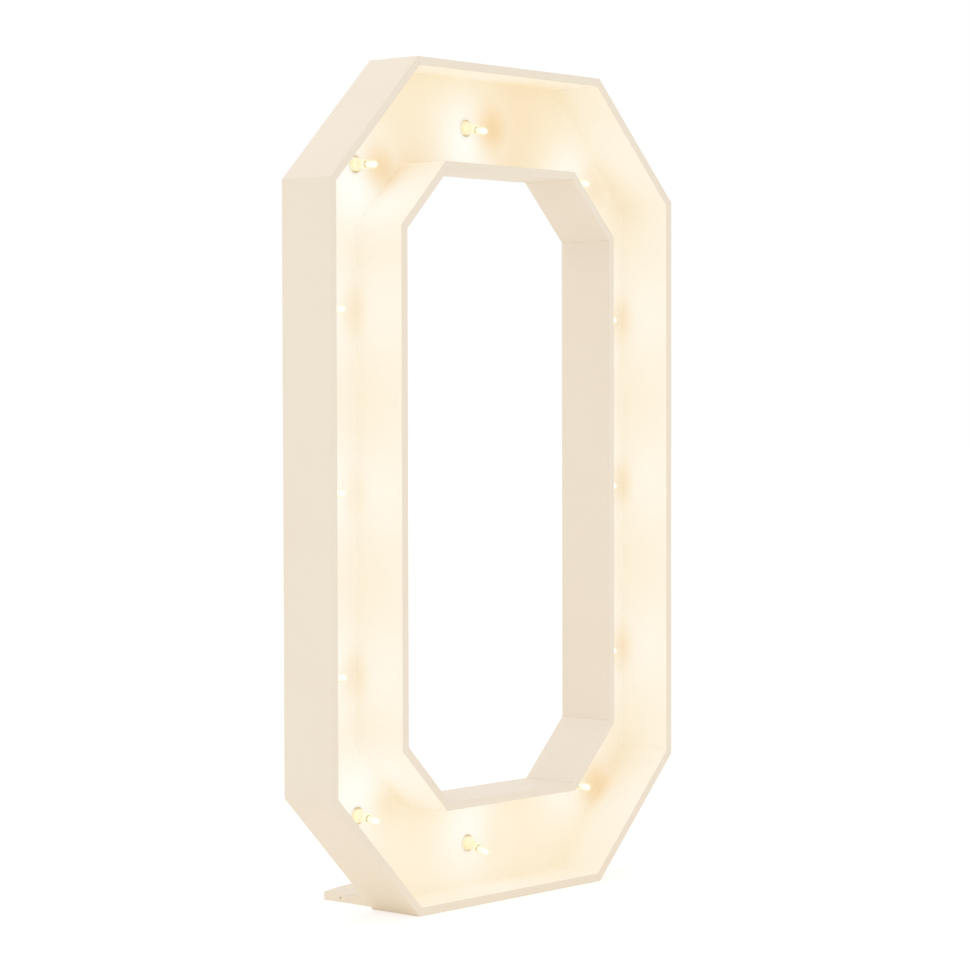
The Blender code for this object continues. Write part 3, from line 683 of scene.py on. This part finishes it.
# Ring nuts: pale gold, turned from brass, with a fine knurl round the rim. Each clamps its holder to the
# panel's face. A painted highlight lies on its sides and painted shade darkens it above and below; light
# tarnish in clouds shares that darker colour.
NUT_GOLD = (0.94, 0.88, 0.69)
NUT_SHADE_AND_TARNISH = (0.70, 0.52, 0.26)
NUT_PAINTED_HIGHLIGHT = (0.05, 0.045, 0.035)
NUT_SHADE_FADE = (0.66, 0.98)
NUT_TARNISH_EDGES = (0.45, 0.75)
NUT_TARNISH = 0.2
NUT_RADIUS = 0.012
NUT_BORE = 0.0078
NUT_THICKNESS = 0.0032
NUT_ROUND = 0.0013
NUT_BORE_ROUND = 0.0004
NUT_GRIPS = 60
KNURL = 0.00018

nut_gold = Finish("nut_gold", Metallic=1.0, Emission_Strength=1.0)
# Painted shade above and below the nut's middle, and a painted highlight glowing at its sides.
off_level = nut_gold.node("Attribute", {"attribute_name": "off_level"}, output="Fac").fade(*NUT_SHADE_FADE)
tarnish = nut_gold.noise(scale=220, detail=3).fade(*NUT_TARNISH_EDGES) * NUT_TARNISH
nut_gold.set(Base_Color=nut_gold.colour("MIX", off_level.most(tarnish), NUT_GOLD, NUT_SHADE_AND_TARNISH))
nut_gold.set(Emission_Color=nut_gold.colour("MIX", off_level, NUT_PAINTED_HIGHLIGHT, DARK))
nut_gold.wear(smoothest=0.24, spread=0.16, scale=900, stretch=(1, 6, 1))
nut_gold.bump(nut_gold.noise(scale=1400), distance=0.00003, strength=0.3)

nut_profile = (
    (GAP, NUT_BORE, SMALL_ROUND), (GAP, NUT_RADIUS), (GAP + NUT_THICKNESS, NUT_RADIUS, NUT_ROUND),
    (GAP + NUT_THICKNESS, NUT_BORE, NUT_BORE_ROUND),
)
for name in LAMP_ORDER:
    spot = lamp_spots[name]
    bm = turned(nut_profile, NUT_GRIPS * 2, True)
    layer = bm.verts.layers.float.new("off_level")
    for vert in bm.verts:
        vert[layer] = abs(vert.co.z) / NUT_RADIUS
        if vert.co.xz.length > NUT_RADIUS - KNURL:
            if round(math.atan2(vert.co.z, vert.co.x) / math.tau * NUT_GRIPS * 2) % 2:
                vert.co.x *= 1 - KNURL / NUT_RADIUS
                vert.co.z *= 1 - KNURL / NUT_RADIUS
    bm.transform(lamp_aim((spot.x, FACE, spot.z)))
    fitted("nut_" + name, bm, nut_gold, "sign", "ring_brass", "ring_nut_" + name)


# Bulbs: a small pear of lightly frosted glass round a bright warm-white core, cemented into a screw cap of
# plated brass with a solder tip. Each screws into its holder's mouth.
GLASS_FROST = (0.93, 0.86, 0.70)
GLASS_LIT = (0.10, 0.08, 0.04)
GLASS_LIT_EDGES = (0.4, 0.9)
GLASS_LIT_LOSS = 0.5
GLASS_CLEARNESS = 0.60
FROST_SMOOTHEST = 0.10
FROST_SPREAD = 0.08
CORE_COLOUR = (0.25, 0.22, 0.18)
CORE_LIT = (1.16, 1.10, 1.07)
CORE_NECK = (1.00, 0.93, 0.74)
CORE_NECK_FADE = (0.004, 0.021)
CORE_CLOUD_EDGES = (0.4, 0.8)
CORE_CLOUD_SHARE = 0.1
CAP_BRIGHT = (0.80, 0.74, 0.60)
CAP_DULL = (0.66, 0.58, 0.42)
GLASS_RADIUS = 0.00675
GLASS_LENGTH = 0.0220
GLASS_START = NECK_LENGTH + GAP * 2
GLASS_STEM = 0.0015
GLASS_STEM_INSET = 0.0012
GLASS_SEAT_INSET = 0.0010
GLASS_PEAR = ((0, 0.66), (0.12, 0.76), (0.30, 0.93), (0.50, 1.0), (0.68, 0.95), (0.83, 0.76), (0.94, 0.45))
CORE_PEAR = (
    (0, 0), (0, 0.55), (0.14, 0.57), (0.32, 0.63), (0.50, 0.67), (0.68, 0.62), (0.84, 0.42), (0.92, 0),
)
GLASS_STEPS = 24
GLASS_SMOOTHING = 2
CAP_RADIUS = 0.0049
CAP_TIP = NECK_LENGTH - SOCKET_DEPTH + GAP
CAP_TIP_STEPS = ((0, 0), (0, 0.0016, 0.0006), (0.0010, 0.0018), (0.0022, 0.0040))
CAP_THREAD_START = 0.0030
CAP_THREAD_DEPTH = 0.0005
CAP_TURNS = 4
CAP_PITCH = 0.0021
CAP_WAIST = 0.0018
CAP_WALL = 0.0007
CAP_FLOOR = 0.0020
CAP_STEPS = 32

frosted = Finish("frosted_glass", Base_Color=GLASS_FROST, Alpha=1 - GLASS_CLEARNESS, Emission_Strength=1.0)
swirl = frosted.noise(scale=260)
frosted.set(Roughness=FROST_SMOOTHEST + swirl * FROST_SPREAD)
unlit = swirl.fade(*GLASS_LIT_EDGES) * GLASS_LIT_LOSS
frosted.set(Emission_Color=frosted.colour("MIX", unlit, GLASS_LIT, DARK))
core_glow = Finish("core_glow", Base_Color=CORE_COLOUR, Roughness=0.5, Emission_Strength=1.0)
towards_neck = core_glow.place()[1].fade(*CORE_NECK_FADE) * (1 - CORE_CLOUD_SHARE)
core_clouds = core_glow.noise(scale=500).fade(*CORE_CLOUD_EDGES) * CORE_CLOUD_SHARE
core_glow.set(Emission_Color=core_glow.colour("MIX", towards_neck + core_clouds, CORE_LIT, CORE_NECK))
cap_brass = Finish("cap_brass", Metallic=1.0)
cap_brass.mottle(CAP_BRIGHT, CAP_DULL, scale=300)
cap_brass.wear(smoothest=0.24, spread=0.12, scale=1200, detail=1)

thread_start = CAP_TIP + CAP_THREAD_START
cap_profile = [(CAP_TIP + step[0], *step[1:]) for step in CAP_TIP_STEPS]
for turn_count in range(CAP_TURNS):
    start = thread_start + turn_count * CAP_PITCH
    cap_profile += [
        (start, CAP_RADIUS - CAP_THREAD_DEPTH), (start + CAP_PITCH / 2, CAP_RADIUS, CAP_THREAD_DEPTH)]
cap_profile += [
    (thread_start + CAP_TURNS * CAP_PITCH, CAP_RADIUS - CAP_THREAD_DEPTH),
    (NECK_LENGTH - CAP_WAIST, CAP_RADIUS - FINE_ROUND), (NECK_LENGTH + GAP, CAP_RADIUS, FINE_ROUND),
    (NECK_LENGTH + GAP, CAP_RADIUS - CAP_WALL), (NECK_LENGTH - CAP_FLOOR, CAP_RADIUS - CAP_WALL),
    (NECK_LENGTH - CAP_FLOOR, 0),
]
glass_profile = [
    (NECK_LENGTH - GLASS_STEM, 0), (NECK_LENGTH - GLASS_STEM, CAP_RADIUS - GLASS_STEM_INSET),
    (NECK_LENGTH, CAP_RADIUS - GLASS_SEAT_INSET),
]
glass_profile += [(GLASS_START + GLASS_LENGTH * along, GLASS_RADIUS * out) for along, out in GLASS_PEAR]
glass_profile += [(GLASS_START + GLASS_LENGTH, 0)]
core_profile = [(GLASS_START + GLASS_LENGTH * along, GLASS_RADIUS * out) for along, out in CORE_PEAR]
for name in LAMP_ORDER:
    aim = lamp_aim(lamp_spots[name], lamp_droops[name])
    node = "bulb_" + name
    for part, profile, finish in (("glass_", glass_profile, frosted), ("core_", core_profile, core_glow)):
        piece = fitted(part + name, turned(profile, GLASS_STEPS, aim=aim), finish, node, "bulb_glass", node)
        smoothing = piece.modifiers.new("round", "SUBSURF")
        smoothing.levels = smoothing.render_levels = GLASS_SMOOTHING
    fitted("cap_" + name, turned(cap_profile, CAP_STEPS, aim=aim), cap_brass, node, "ring_brass", node)


# Wiring: one loop of round two-core cable in pale vinyl, which runs from holder to holder behind the
# panel and through the supply box. Nailed clips hold it between the lamps.
SHEATH_WHITE = (0.80, 0.77, 0.70)
SHEATH_GREY = (0.72, 0.68, 0.60)
PULL_SHARE = 0.36
HELD_SHARE = 0.6
CABLE_ROUND_STEPS = 4
CABLE_RUN_STEPS = 16

sheath = Finish("sheath_white", Specular_IOR_Level=0.45)
sheath.mottle(SHEATH_WHITE, SHEATH_GREY, scale=30, detail=3)
sheath.wear(smoothest=0.38, spread=0.2, scale=300)
sheath.bump(sheath.noise(scale=900), distance=0.00005, strength=0.2)

cable_depth = BACK + GAP + CABLE_RADIUS
straight = BODY_RADIUS + CABLE_RADIUS
cable_data = bpy.data.curves.new("cable", "CURVE")
cable_data.dimensions = "3D"
cable_data.bevel_depth = CABLE_RADIUS
cable_data.bevel_resolution = CABLE_ROUND_STEPS
cable_data.resolution_u = CABLE_RUN_STEPS
spline = cable_data.splines.new("BEZIER")
spline.use_cyclic_u = True
spline.bezier_points.add(len(route) * 2 - 1)
points = spline.bezier_points
knots = [Vector((spot.x, cable_depth, spot.z)) for spot in stops]
for index, (name, knot) in enumerate(zip(route, knots)):
    course = courses[name]
    runs = ((knot - knots[index - 1]).length, (knot - knots[(index + 1) % len(knots)]).length)
    for point, way, run in zip(points[index * 2:index * 2 + 2], (-1, 1), runs):
        pull, held = (run - straight * 2) * PULL_SHARE, straight * HELD_SHARE
        point.co = knot + course * straight * way
        point.handle_left = point.co - course * (pull if way < 0 else held)
        point.handle_right = point.co + course * (pull if way > 0 else held)
cable = bpy.data.objects.new("cable", cable_data)
cable_data.materials.append(sheath.material)
bpy.context.scene.collection.objects.link(cable)
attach(cable, "sign")
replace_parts(cable, "wiring_loop")


# Cable clips: a white moulded saddle between each two lamps. It wraps the cable, and one steel nail through
# its foot holds it to the panel.
CLIP_WHITE = (0.82, 0.80, 0.74)
CLIP_GREY = (0.76, 0.73, 0.66)
CLIP_WALL = 0.0011
CLIP_LENGTH = 0.0050
CLIP_FOOT = 0.0050
CLIP_BASE = 0.0012
CLIP_STEPS = 14
NAIL_BRIGHT = (0.64, 0.63, 0.61)
NAIL_DULL = (0.50, 0.49, 0.47)
NAIL_RADIUS = 0.0013
NAIL_RIM = 0.0007
NAIL_CROWN = 0.0008
NAIL_STEPS = 16
FLAT = 1e-5
CURVE_POINTS = 9

clip_white = Finish("clip_white")
clip_white.mottle(CLIP_WHITE, CLIP_GREY, scale=200)
clip_white.wear(smoothest=0.36, spread=0.16, scale=700)
nail_steel = Finish("nail_steel", Metallic=1.0)
nail_steel.mottle(NAIL_BRIGHT, NAIL_DULL, scale=500, detail=3)
nail_steel.wear(smoothest=0.26, spread=0.2, scale=1100)

outer = CABLE_RADIUS + GAP + CLIP_WALL
halfway = CURVE_POINTS // 2
nail_seat = CLIP_BASE - CABLE_RADIUS
nail_profile = [
    (nail_seat, 0), (nail_seat, NAIL_RADIUS), (nail_seat + NAIL_RIM, NAIL_RADIUS, SMALL_ROUND),
    (nail_seat + NAIL_CROWN, 0),
]
for index, name in enumerate(route):
    if name == "box_top":
        continue
    leave, arrive = points[index * 2 + 1], points[(index * 2 + 2) % len(points)]
    curve = interpolate_bezier(leave.co, leave.handle_right, arrive.handle_left, arrive.co, CURVE_POINTS)
    before, middle, after = [Vector(point) for point in curve[halfway - 1:halfway + 2]]
    course = (after - before).normalized()
    bm = bmesh.new()
    verts = [bm.verts.new((radius, 0, along)) for radius, along in (
        (outer - CLIP_WALL, -CLIP_LENGTH / 2), (outer, -CLIP_LENGTH / 2),
        (outer, CLIP_LENGTH / 2), (outer - CLIP_WALL, CLIP_LENGTH / 2))]
    bmesh.ops.spin(
        bm, geom=[bm.faces.new(verts)], axis=(0, 0, 1), cent=(0, 0, 0), angle=math.pi, steps=CLIP_STEPS,
        use_merge=False)
    for end in [face for face in bm.faces if all(abs(vert.co.y) < FLAT for vert in face.verts)]:
        moved = bmesh.ops.extrude_discrete_faces(bm, faces=[end])["faces"]
        bmesh.ops.translate(bm, verts=moved[0].verts, vec=(0, -CABLE_RADIUS, 0))
    bmesh.ops.remove_doubles(bm, verts=bm.verts, dist=DOUBLE)
    bmesh.ops.recalc_face_normals(bm, faces=bm.faces)
    foot = block((CLIP_FOOT, CLIP_BASE, CLIP_LENGTH), Matrix.Translation(
        (outer + CLIP_FOOT / 2 - CLIP_WALL / 2, CLIP_BASE / 2 - CABLE_RADIUS, 0)))
    eased(foot, foot.edges[:], SMALL_ROUND, segments=2)
    bm = joined(bm, foot, "UNION")
    aim = Matrix.Translation(middle) @ Matrix.Rotation(math.pi / 2 - math.atan2(course.z, course.x), 4, "Y")
    bm.transform(aim)
    fitted("clip_" + name, bm, clip_white, "sign", "cable_sheath")
    nail_aim = aim @ Matrix.Translation((outer + CLIP_FOOT / 2, 0, 0))
    fitted("nail_" + name, turned(nail_profile, NAIL_STEPS, aim=nail_aim), nail_steel, "sign", "screw_steel")


# Supply box: a white moulding on the panel's rear, open towards it, with a flange, a seam round its lid and
# a fine spark texture. The cable goes in at the top and out at the foot through notches in the flange.
BOX_WHITE = (0.82, 0.80, 0.75)
BOX_CREAM = (0.80, 0.775, 0.72)
BOX_SMOOTHEST = 0.40
BOX_SPREAD = 0.22
BOX_WIDTH = 0.058
BOX_HEIGHT = 0.088
BOX_DEPTH = 0.026
BOX_WALL = 0.0022
BOX_CORNER = 0.006
BOX_FILLET = 0.0020
FLANGE_MARGIN = 0.011
FLANGE_THICKNESS = 0.0025
FLANGE_FILLET = 0.0007
CORNER_STEPS = 8
FILLET_STEPS = 5
LID_SEAM = 0.0005
LID_DEPTH = 0.0070
SWITCH_WIDTH = 0.013
SWITCH_HEIGHT = 0.0192
SWITCH_RAISE = 0.018
INLET_OFFSET = 0.016
INLET_BARREL_RADIUS = 0.0055
INLET_BORE_STEPS = 32
ROD_STEPS = 24
OVERRUN = 0.001

box_white = Finish("box_white", Specular_IOR_Level=0.5)
box_white.mottle(BOX_WHITE, BOX_CREAM, scale=25)
spark = box_white.noise(scale=2200)
box_white.set(Roughness=BOX_SMOOTHEST + spark * BOX_SPREAD)
box_white.bump(spark, distance=0.00008, strength=0.4)


def rounded_block(low, high, corner=0.0, fillet=0.0):
    """A block between two heights behind the panel, with round corners and a rounded top."""
    size = [b - a for a, b in zip(low, high)]
    bm = block(size, Matrix.Translation([(a + b) / 2 for a, b in zip(low, high)]))
    if corner:
        upright = [edge for edge in bm.edges if abs(edge.verts[0].co.y - edge.verts[1].co.y) > size[1] / 2]
        eased(bm, upright, corner, CORNER_STEPS)
    if fillet:
        top = [edge for edge in bm.edges if all(vert.co.y > high[1] - DOUBLE for vert in edge.verts)]
        eased(bm, top, fillet, FILLET_STEPS)
    return bm


def box_block(half_width, half_height, low, high, corner, fillet=0.0):
    """A rounded block about the box's middle, between two heights above the panel's rear."""
    return rounded_block(
        (box_middle.x - half_width, BACK + low, box_middle.z - half_height),
        (box_middle.x + half_width, BACK + high, box_middle.z + half_height), corner, fillet)


def rod(start, end, radius, aim, steps=ROD_STEPS):
    """A round bar between two distances along aim's Y."""
    return turned([(start, 0), (start, radius), (end, radius), (end, 0)], steps, aim=aim)


half_width, half_height = BOX_WIDTH / 2, BOX_HEIGHT / 2
box_top = GAP + BOX_DEPTH
lid_edge = box_top - LID_DEPTH
bm = box_block(
    half_width + FLANGE_MARGIN, half_height + FLANGE_MARGIN, GAP, GAP + FLANGE_THICKNESS, BOX_CORNER,
    FLANGE_FILLET)
body = box_block(half_width, half_height, GAP + FLANGE_THICKNESS / 2, box_top, BOX_CORNER, BOX_FILLET)
bm = joined(bm, body, "UNION")
seam = box_block(half_width + OVERRUN, half_height + OVERRUN, lid_edge - LID_SEAM, lid_edge, BOX_CORNER)
core = box_block(
    half_width - LID_SEAM, half_height - LID_SEAM, lid_edge - OVERRUN, lid_edge + OVERRUN,
    BOX_CORNER - LID_SEAM)
bm = joined(bm, joined(seam, core))
bm = joined(bm, box_block(
    half_width - BOX_WALL, half_height - BOX_WALL, GAP - OVERRUN, box_top - BOX_WALL, BOX_CORNER - BOX_WALL))
switch_middle = Vector((box_middle.x, BACK, box_middle.z + SWITCH_RAISE))
bm = joined(bm, rounded_block(
    switch_middle + Vector((-SWITCH_WIDTH / 2 - GAP, box_top - BOX_WALL - OVERRUN, -SWITCH_HEIGHT / 2 - GAP)),
    switch_middle + Vector((SWITCH_WIDTH / 2 + GAP, box_top + OVERRUN, SWITCH_HEIGHT / 2 + GAP))))
notch_length = half_height + FLANGE_MARGIN + OVERRUN
notch_aim = Matrix.Translation((box_middle.x, cable_depth, box_middle.z))
notch_aim = notch_aim @ Matrix.Rotation(math.pi / 2, 4, "X")
bm = joined(bm, rod(-notch_length, notch_length, CABLE_RADIUS + GAP, notch_aim))
inlet_spot = (box_middle.x + INLET_OFFSET, BACK + GAP + BOX_DEPTH / 2, box_middle.z - half_height)
inlet_aim = Matrix.Translation(inlet_spot) @ Matrix.Rotation(-math.pi / 2, 4, "X")
bm = joined(bm, rod(-BOX_WALL - OVERRUN, OVERRUN, INLET_BARREL_RADIUS + GAP, inlet_aim, INLET_BORE_STEPS))
fitted("supply_box", bm, box_white, "sign", "box_plastic", "power_box")


# Box screws: two pan-head screws of zinc-plated steel with a cross recess. They go through opposite corners
# of the flange into the panel.
ZINC_BRIGHT = (0.70, 0.69, 0.66)
ZINC_DULL = (0.58, 0.57, 0.54)
SCREW_RADIUS = 0.0015
HEAD_RADIUS = 0.0030
HEAD_HEIGHT = 0.0020
HEAD_ROUND = 0.0012
RECESS_LENGTH = 0.0034
RECESS_WIDTH = 0.0007
RECESS_DEPTH = 0.0012
RECESS_TAPER = 0.5
RECESS_TURN = 0.3
SCREW_STEPS = 32

screw_steel = Finish("screw_steel", Metallic=1.0)
screw_steel.mottle(ZINC_BRIGHT, ZINC_DULL, scale=400, detail=3)
screw_steel.wear(smoothest=0.22, spread=0.22, scale=1300)
for name in ("box_screw_upper", "box_screw_lower"):
    low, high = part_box(name)
    seat = BACK + GAP + FLANGE_THICKNESS + GAP
    spot = Vector(((low.x + high.x) / 2, seat, (low.z + high.z) / 2))
    shank = low.y - seat
    bm = turned(
        [(shank, 0), (shank, SCREW_RADIUS, SMALL_ROUND), (0, SCREW_RADIUS), (0, HEAD_RADIUS),
         (HEAD_HEIGHT, HEAD_RADIUS, HEAD_ROUND), (HEAD_HEIGHT, 0)], SCREW_STEPS, aim=Matrix.Translation(spot))
    for angle in (RECESS_TURN, RECESS_TURN + math.pi / 2):
        aim = Matrix.Translation(spot + Vector((0, HEAD_HEIGHT, 0))) @ Matrix.Rotation(angle, 4, "Y")
        cross = block((RECESS_LENGTH, RECESS_DEPTH * 2, RECESS_WIDTH), aim)
        for vert in cross.verts:
            if vert.co.y < spot.y + HEAD_HEIGHT:
                vert.co.x = spot.x + (vert.co.x - spot.x) * RECESS_TAPER
                vert.co.z = spot.z + (vert.co.z - spot.z) * RECESS_TAPER
        bm = joined(bm, cross)
    fitted(name.removeprefix("box_"), bm, screw_steel, "sign", "screw_steel", name)


# Switch: a black frame snapped into the box's window, and a rocker on two stub pivots. The rocker's dished
# face has the usual line and ring, printed white.
SWITCH_BLACK = (0.018, 0.018, 0.019)
SWITCH_GREY = (0.030, 0.029, 0.028)
MARK_WHITE = (0.80, 0.80, 0.79)
MARK_GREY = (0.70, 0.70, 0.69)
BEZEL_MARGIN = 0.0012
BEZEL_THICKNESS = 0.0018
BEZEL_CORNER = 0.0006
SWITCH_BODY = 0.0100
SWITCH_WALL = 0.0016
PIVOT_DEPTH = 0.0035
PIVOT_RADIUS = 0.0010
ROCKER_TILT = math.radians(12)
ROCKER_CREST = 0.0050
ROCKER_DIP = 0.0034
ROCKER_SKIRT = 0.0018
ROCKER_ROUND = 0.0005
ROCKER_ROUND_FROM = math.radians(40)
ROCKER_ROUND_STEPS = 4
ROCKER_END_GAP = 0.0012
SKIRT_SHARE = 0.7
CREST_STEPS = 12
MARK_SHARE = 0.56
MARK_HEIGHT = 0.00008
LINE_WIDTH = 0.00042
LINE_LENGTH = 0.0026
RING_BORE = 0.00105
RING_RADIUS = 0.00140
RING_STEPS = 32

switch_black = Finish("switch_black", Specular_IOR_Level=0.5)
switch_black.mottle(SWITCH_BLACK, SWITCH_GREY, scale=300, detail=3)
switch_black.wear(smoothest=0.26, spread=0.2, scale=1600)
switch_black.bump(switch_black.noise(scale=2600, detail=1), distance=0.00004, strength=0.3)
mark_white = Finish("mark_white", Roughness=0.5)
mark_white.mottle(MARK_WHITE, MARK_GREY, scale=900)

seat = GAP + BOX_DEPTH + GAP
half_wide, half_tall = SWITCH_WIDTH / 2, SWITCH_HEIGHT / 2


def switch_block(margin, low, high, fillet=0.0):
    """A block about the switch's middle, larger than its opening by a margin."""
    return rounded_block(
        switch_middle + Vector((-half_wide - margin, low, -half_tall - margin)),
        switch_middle + Vector((half_wide + margin, high, half_tall + margin)), BEZEL_CORNER, fillet)


bm = switch_block(0, seat - SWITCH_BODY, seat + BEZEL_THICKNESS / 2)
bm = joined(bm, switch_block(BEZEL_MARGIN, seat, seat + BEZEL_THICKNESS, ROCKER_ROUND), "UNION")
bm = joined(bm, switch_block(
    -SWITCH_WALL, seat - SWITCH_BODY + SWITCH_WALL, seat + BEZEL_THICKNESS + OVERRUN))
pivot = switch_middle + Vector((0, seat + BEZEL_THICKNESS - PIVOT_DEPTH, 0))
pivot_aim = Matrix.Translation(pivot) @ Matrix.Rotation(math.pi / 2, 4, "Z")
bm = joined(bm, rod(-half_wide - OVERRUN, half_wide + OVERRUN, PIVOT_RADIUS + GAP, pivot_aim))
fitted("switch_bezel", bm, switch_black, "sign", "switch_plastic", "switch_frame")

rocker_wide = half_wide - SWITCH_WALL - GAP
rocker_long = half_tall - SWITCH_WALL - ROCKER_END_GAP
section = [(rocker_long * (2 * i / CREST_STEPS - 1), ROCKER_DIP) for i in range(CREST_STEPS + 1)]
section = [(z, y + (ROCKER_CREST - ROCKER_DIP) * (z / rocker_long) ** 2) for z, y in section]
skirt = rocker_long * SKIRT_SHARE
section += [(rocker_long, 0), (skirt, -ROCKER_SKIRT), (-skirt, -ROCKER_SKIRT), (-rocker_long, 0)]
bm = bmesh.new()
extruded(bm, [(-rocker_wide, y, z) for z, y in section], (rocker_wide * 2, 0, 0))
bmesh.ops.recalc_face_normals(bm, faces=bm.faces)
eased(bm, [
    edge for edge in bm.edges if edge.calc_face_angle() > ROCKER_ROUND_FROM
    and all(vert.co.y > ROCKER_DIP - DOUBLE for vert in edge.verts)], ROCKER_ROUND, ROCKER_ROUND_STEPS)
tilt = Matrix.Translation(pivot) @ Matrix.Rotation(ROCKER_TILT, 4, "X")
bm.transform(tilt)
bm = joined(bm, rod(GAP - half_wide, half_wide - GAP, PIVOT_RADIUS, pivot_aim), "UNION")
fitted("rocker_paddle", bm, switch_black, "rocker", "switch_plastic", "rocker")

for name, share in (("line", MARK_SHARE), ("ring", -MARK_SHARE)):
    crest = ROCKER_DIP + (ROCKER_CREST - ROCKER_DIP) * share ** 2
    slope = math.atan(2 * (ROCKER_CREST - ROCKER_DIP) * share / rocker_long)
    aim = tilt @ Matrix.Translation((0, crest, rocker_long * share)) @ Matrix.Rotation(-slope, 4, "X")
    if name == "ring":
        bm = turned(
            [(0, RING_BORE), (0, RING_RADIUS), (MARK_HEIGHT, RING_RADIUS), (MARK_HEIGHT, RING_BORE)],
            RING_STEPS, True, aim)
    else:
        bm = block((LINE_WIDTH, MARK_HEIGHT, LINE_LENGTH), aim @ Matrix.Translation((0, MARK_HEIGHT / 2, 0)))
    fitted("mark_" + name, bm, mark_white, "rocker", "switch_plastic")


# Inlet: a round low-voltage socket of black plastic in the box's lower side, with a plated centre pin on a
# contact disc at the bottom of its bore.
NICKEL_BRIGHT = (0.76, 0.72, 0.64)
NICKEL_DULL = (0.66, 0.62, 0.54)
INLET_BEZEL_RADIUS = 0.0070
INLET_BEZEL = 0.0020
INLET_BEZEL_ROUND = 0.0007
INLET_LENGTH = 0.0160
INLET_REAR_ROUND = 0.0005
INLET_BORE_RADIUS = 0.0032
INLET_BORE_DEPTH = 0.0095
INLET_BORE_ROUND = 0.0004
INLET_STEPS = 48
CONTACT_RADIUS = 0.0020
CONTACT_THICKNESS = 0.0004
CONTACT_COLLAR = 0.0001
INLET_PIN_RADIUS = 0.00105
INLET_PIN_ROUND = 0.0005
INLET_PIN_SETBACK = 0.0010
INLET_PIN_STEPS = 24

rim = GAP + INLET_BEZEL
floor_depth = rim - INLET_BORE_DEPTH
bm = turned([
    (floor_depth, 0), (floor_depth, INLET_BORE_RADIUS), (rim, INLET_BORE_RADIUS, INLET_BORE_ROUND),
    (rim, INLET_BEZEL_RADIUS, INLET_BEZEL_ROUND), (GAP, INLET_BEZEL_RADIUS), (GAP, INLET_BARREL_RADIUS),
    (rim - INLET_LENGTH, INLET_BARREL_RADIUS, INLET_REAR_ROUND), (rim - INLET_LENGTH, 0),
], INLET_STEPS, aim=inlet_aim)
fitted("inlet_shell", bm, switch_black, "sign", "switch_plastic", "dc_inlet")
pin_nickel = Finish("pin_nickel", Metallic=1.0, Roughness=0.22)
pin_nickel.mottle(NICKEL_BRIGHT, NICKEL_DULL, scale=800)
bm = turned([
    (floor_depth, 0), (floor_depth, CONTACT_RADIUS), (floor_depth + CONTACT_THICKNESS, CONTACT_RADIUS),
    (floor_depth + CONTACT_THICKNESS + CONTACT_COLLAR, INLET_PIN_RADIUS),
    (rim - INLET_PIN_SETBACK, INLET_PIN_RADIUS, INLET_PIN_ROUND), (rim - INLET_PIN_SETBACK, 0),
], INLET_PIN_STEPS, aim=inlet_aim)
fitted("inlet_pin", bm, pin_nickel, "sign", "screw_steel", "dc_inlet")


# Panel pins: fine nails round both edges of the back panel, which hold it to the walls. Their heads are set
# flush, filled and painted over.
PIN_HEAD_RADIUS = 0.0014
PIN_HEAD_HEIGHT = 0.00018
PIN_HEAD_TOP = 0.6
PIN_HEAD_SINK = 0.0002
PIN_HEAD_STEPS = 12
PIN_PITCH = 0.105
PIN_INSET = 0.0095

bm = bmesh.new()
for line_inset in (PIN_INSET, BAND - PIN_INSET):
    turns = octagon(line_inset)
    for (x_start, z_start), (x_end, z_end) in zip(turns, turns[1:] + turns[:1]):
        start, end = Vector((x_start, BACK, z_start)), Vector((x_end, BACK, z_end))
        count = max(1, round((end - start).length / PIN_PITCH))
        for i in range(count):
            spot = start.lerp(end, (i + 0.5) / count)
            absorbed(bm, turned([
                (-PIN_HEAD_SINK, 0), (-PIN_HEAD_SINK, PIN_HEAD_RADIUS), (0, PIN_HEAD_RADIUS),
                (PIN_HEAD_HEIGHT, PIN_HEAD_RADIUS * PIN_HEAD_TOP), (PIN_HEAD_HEIGHT, 0),
            ], PIN_HEAD_STEPS, aim=Matrix.Translation(spot)))
fitted("panel_pins", bm, paint, "sign", "painted_wood")
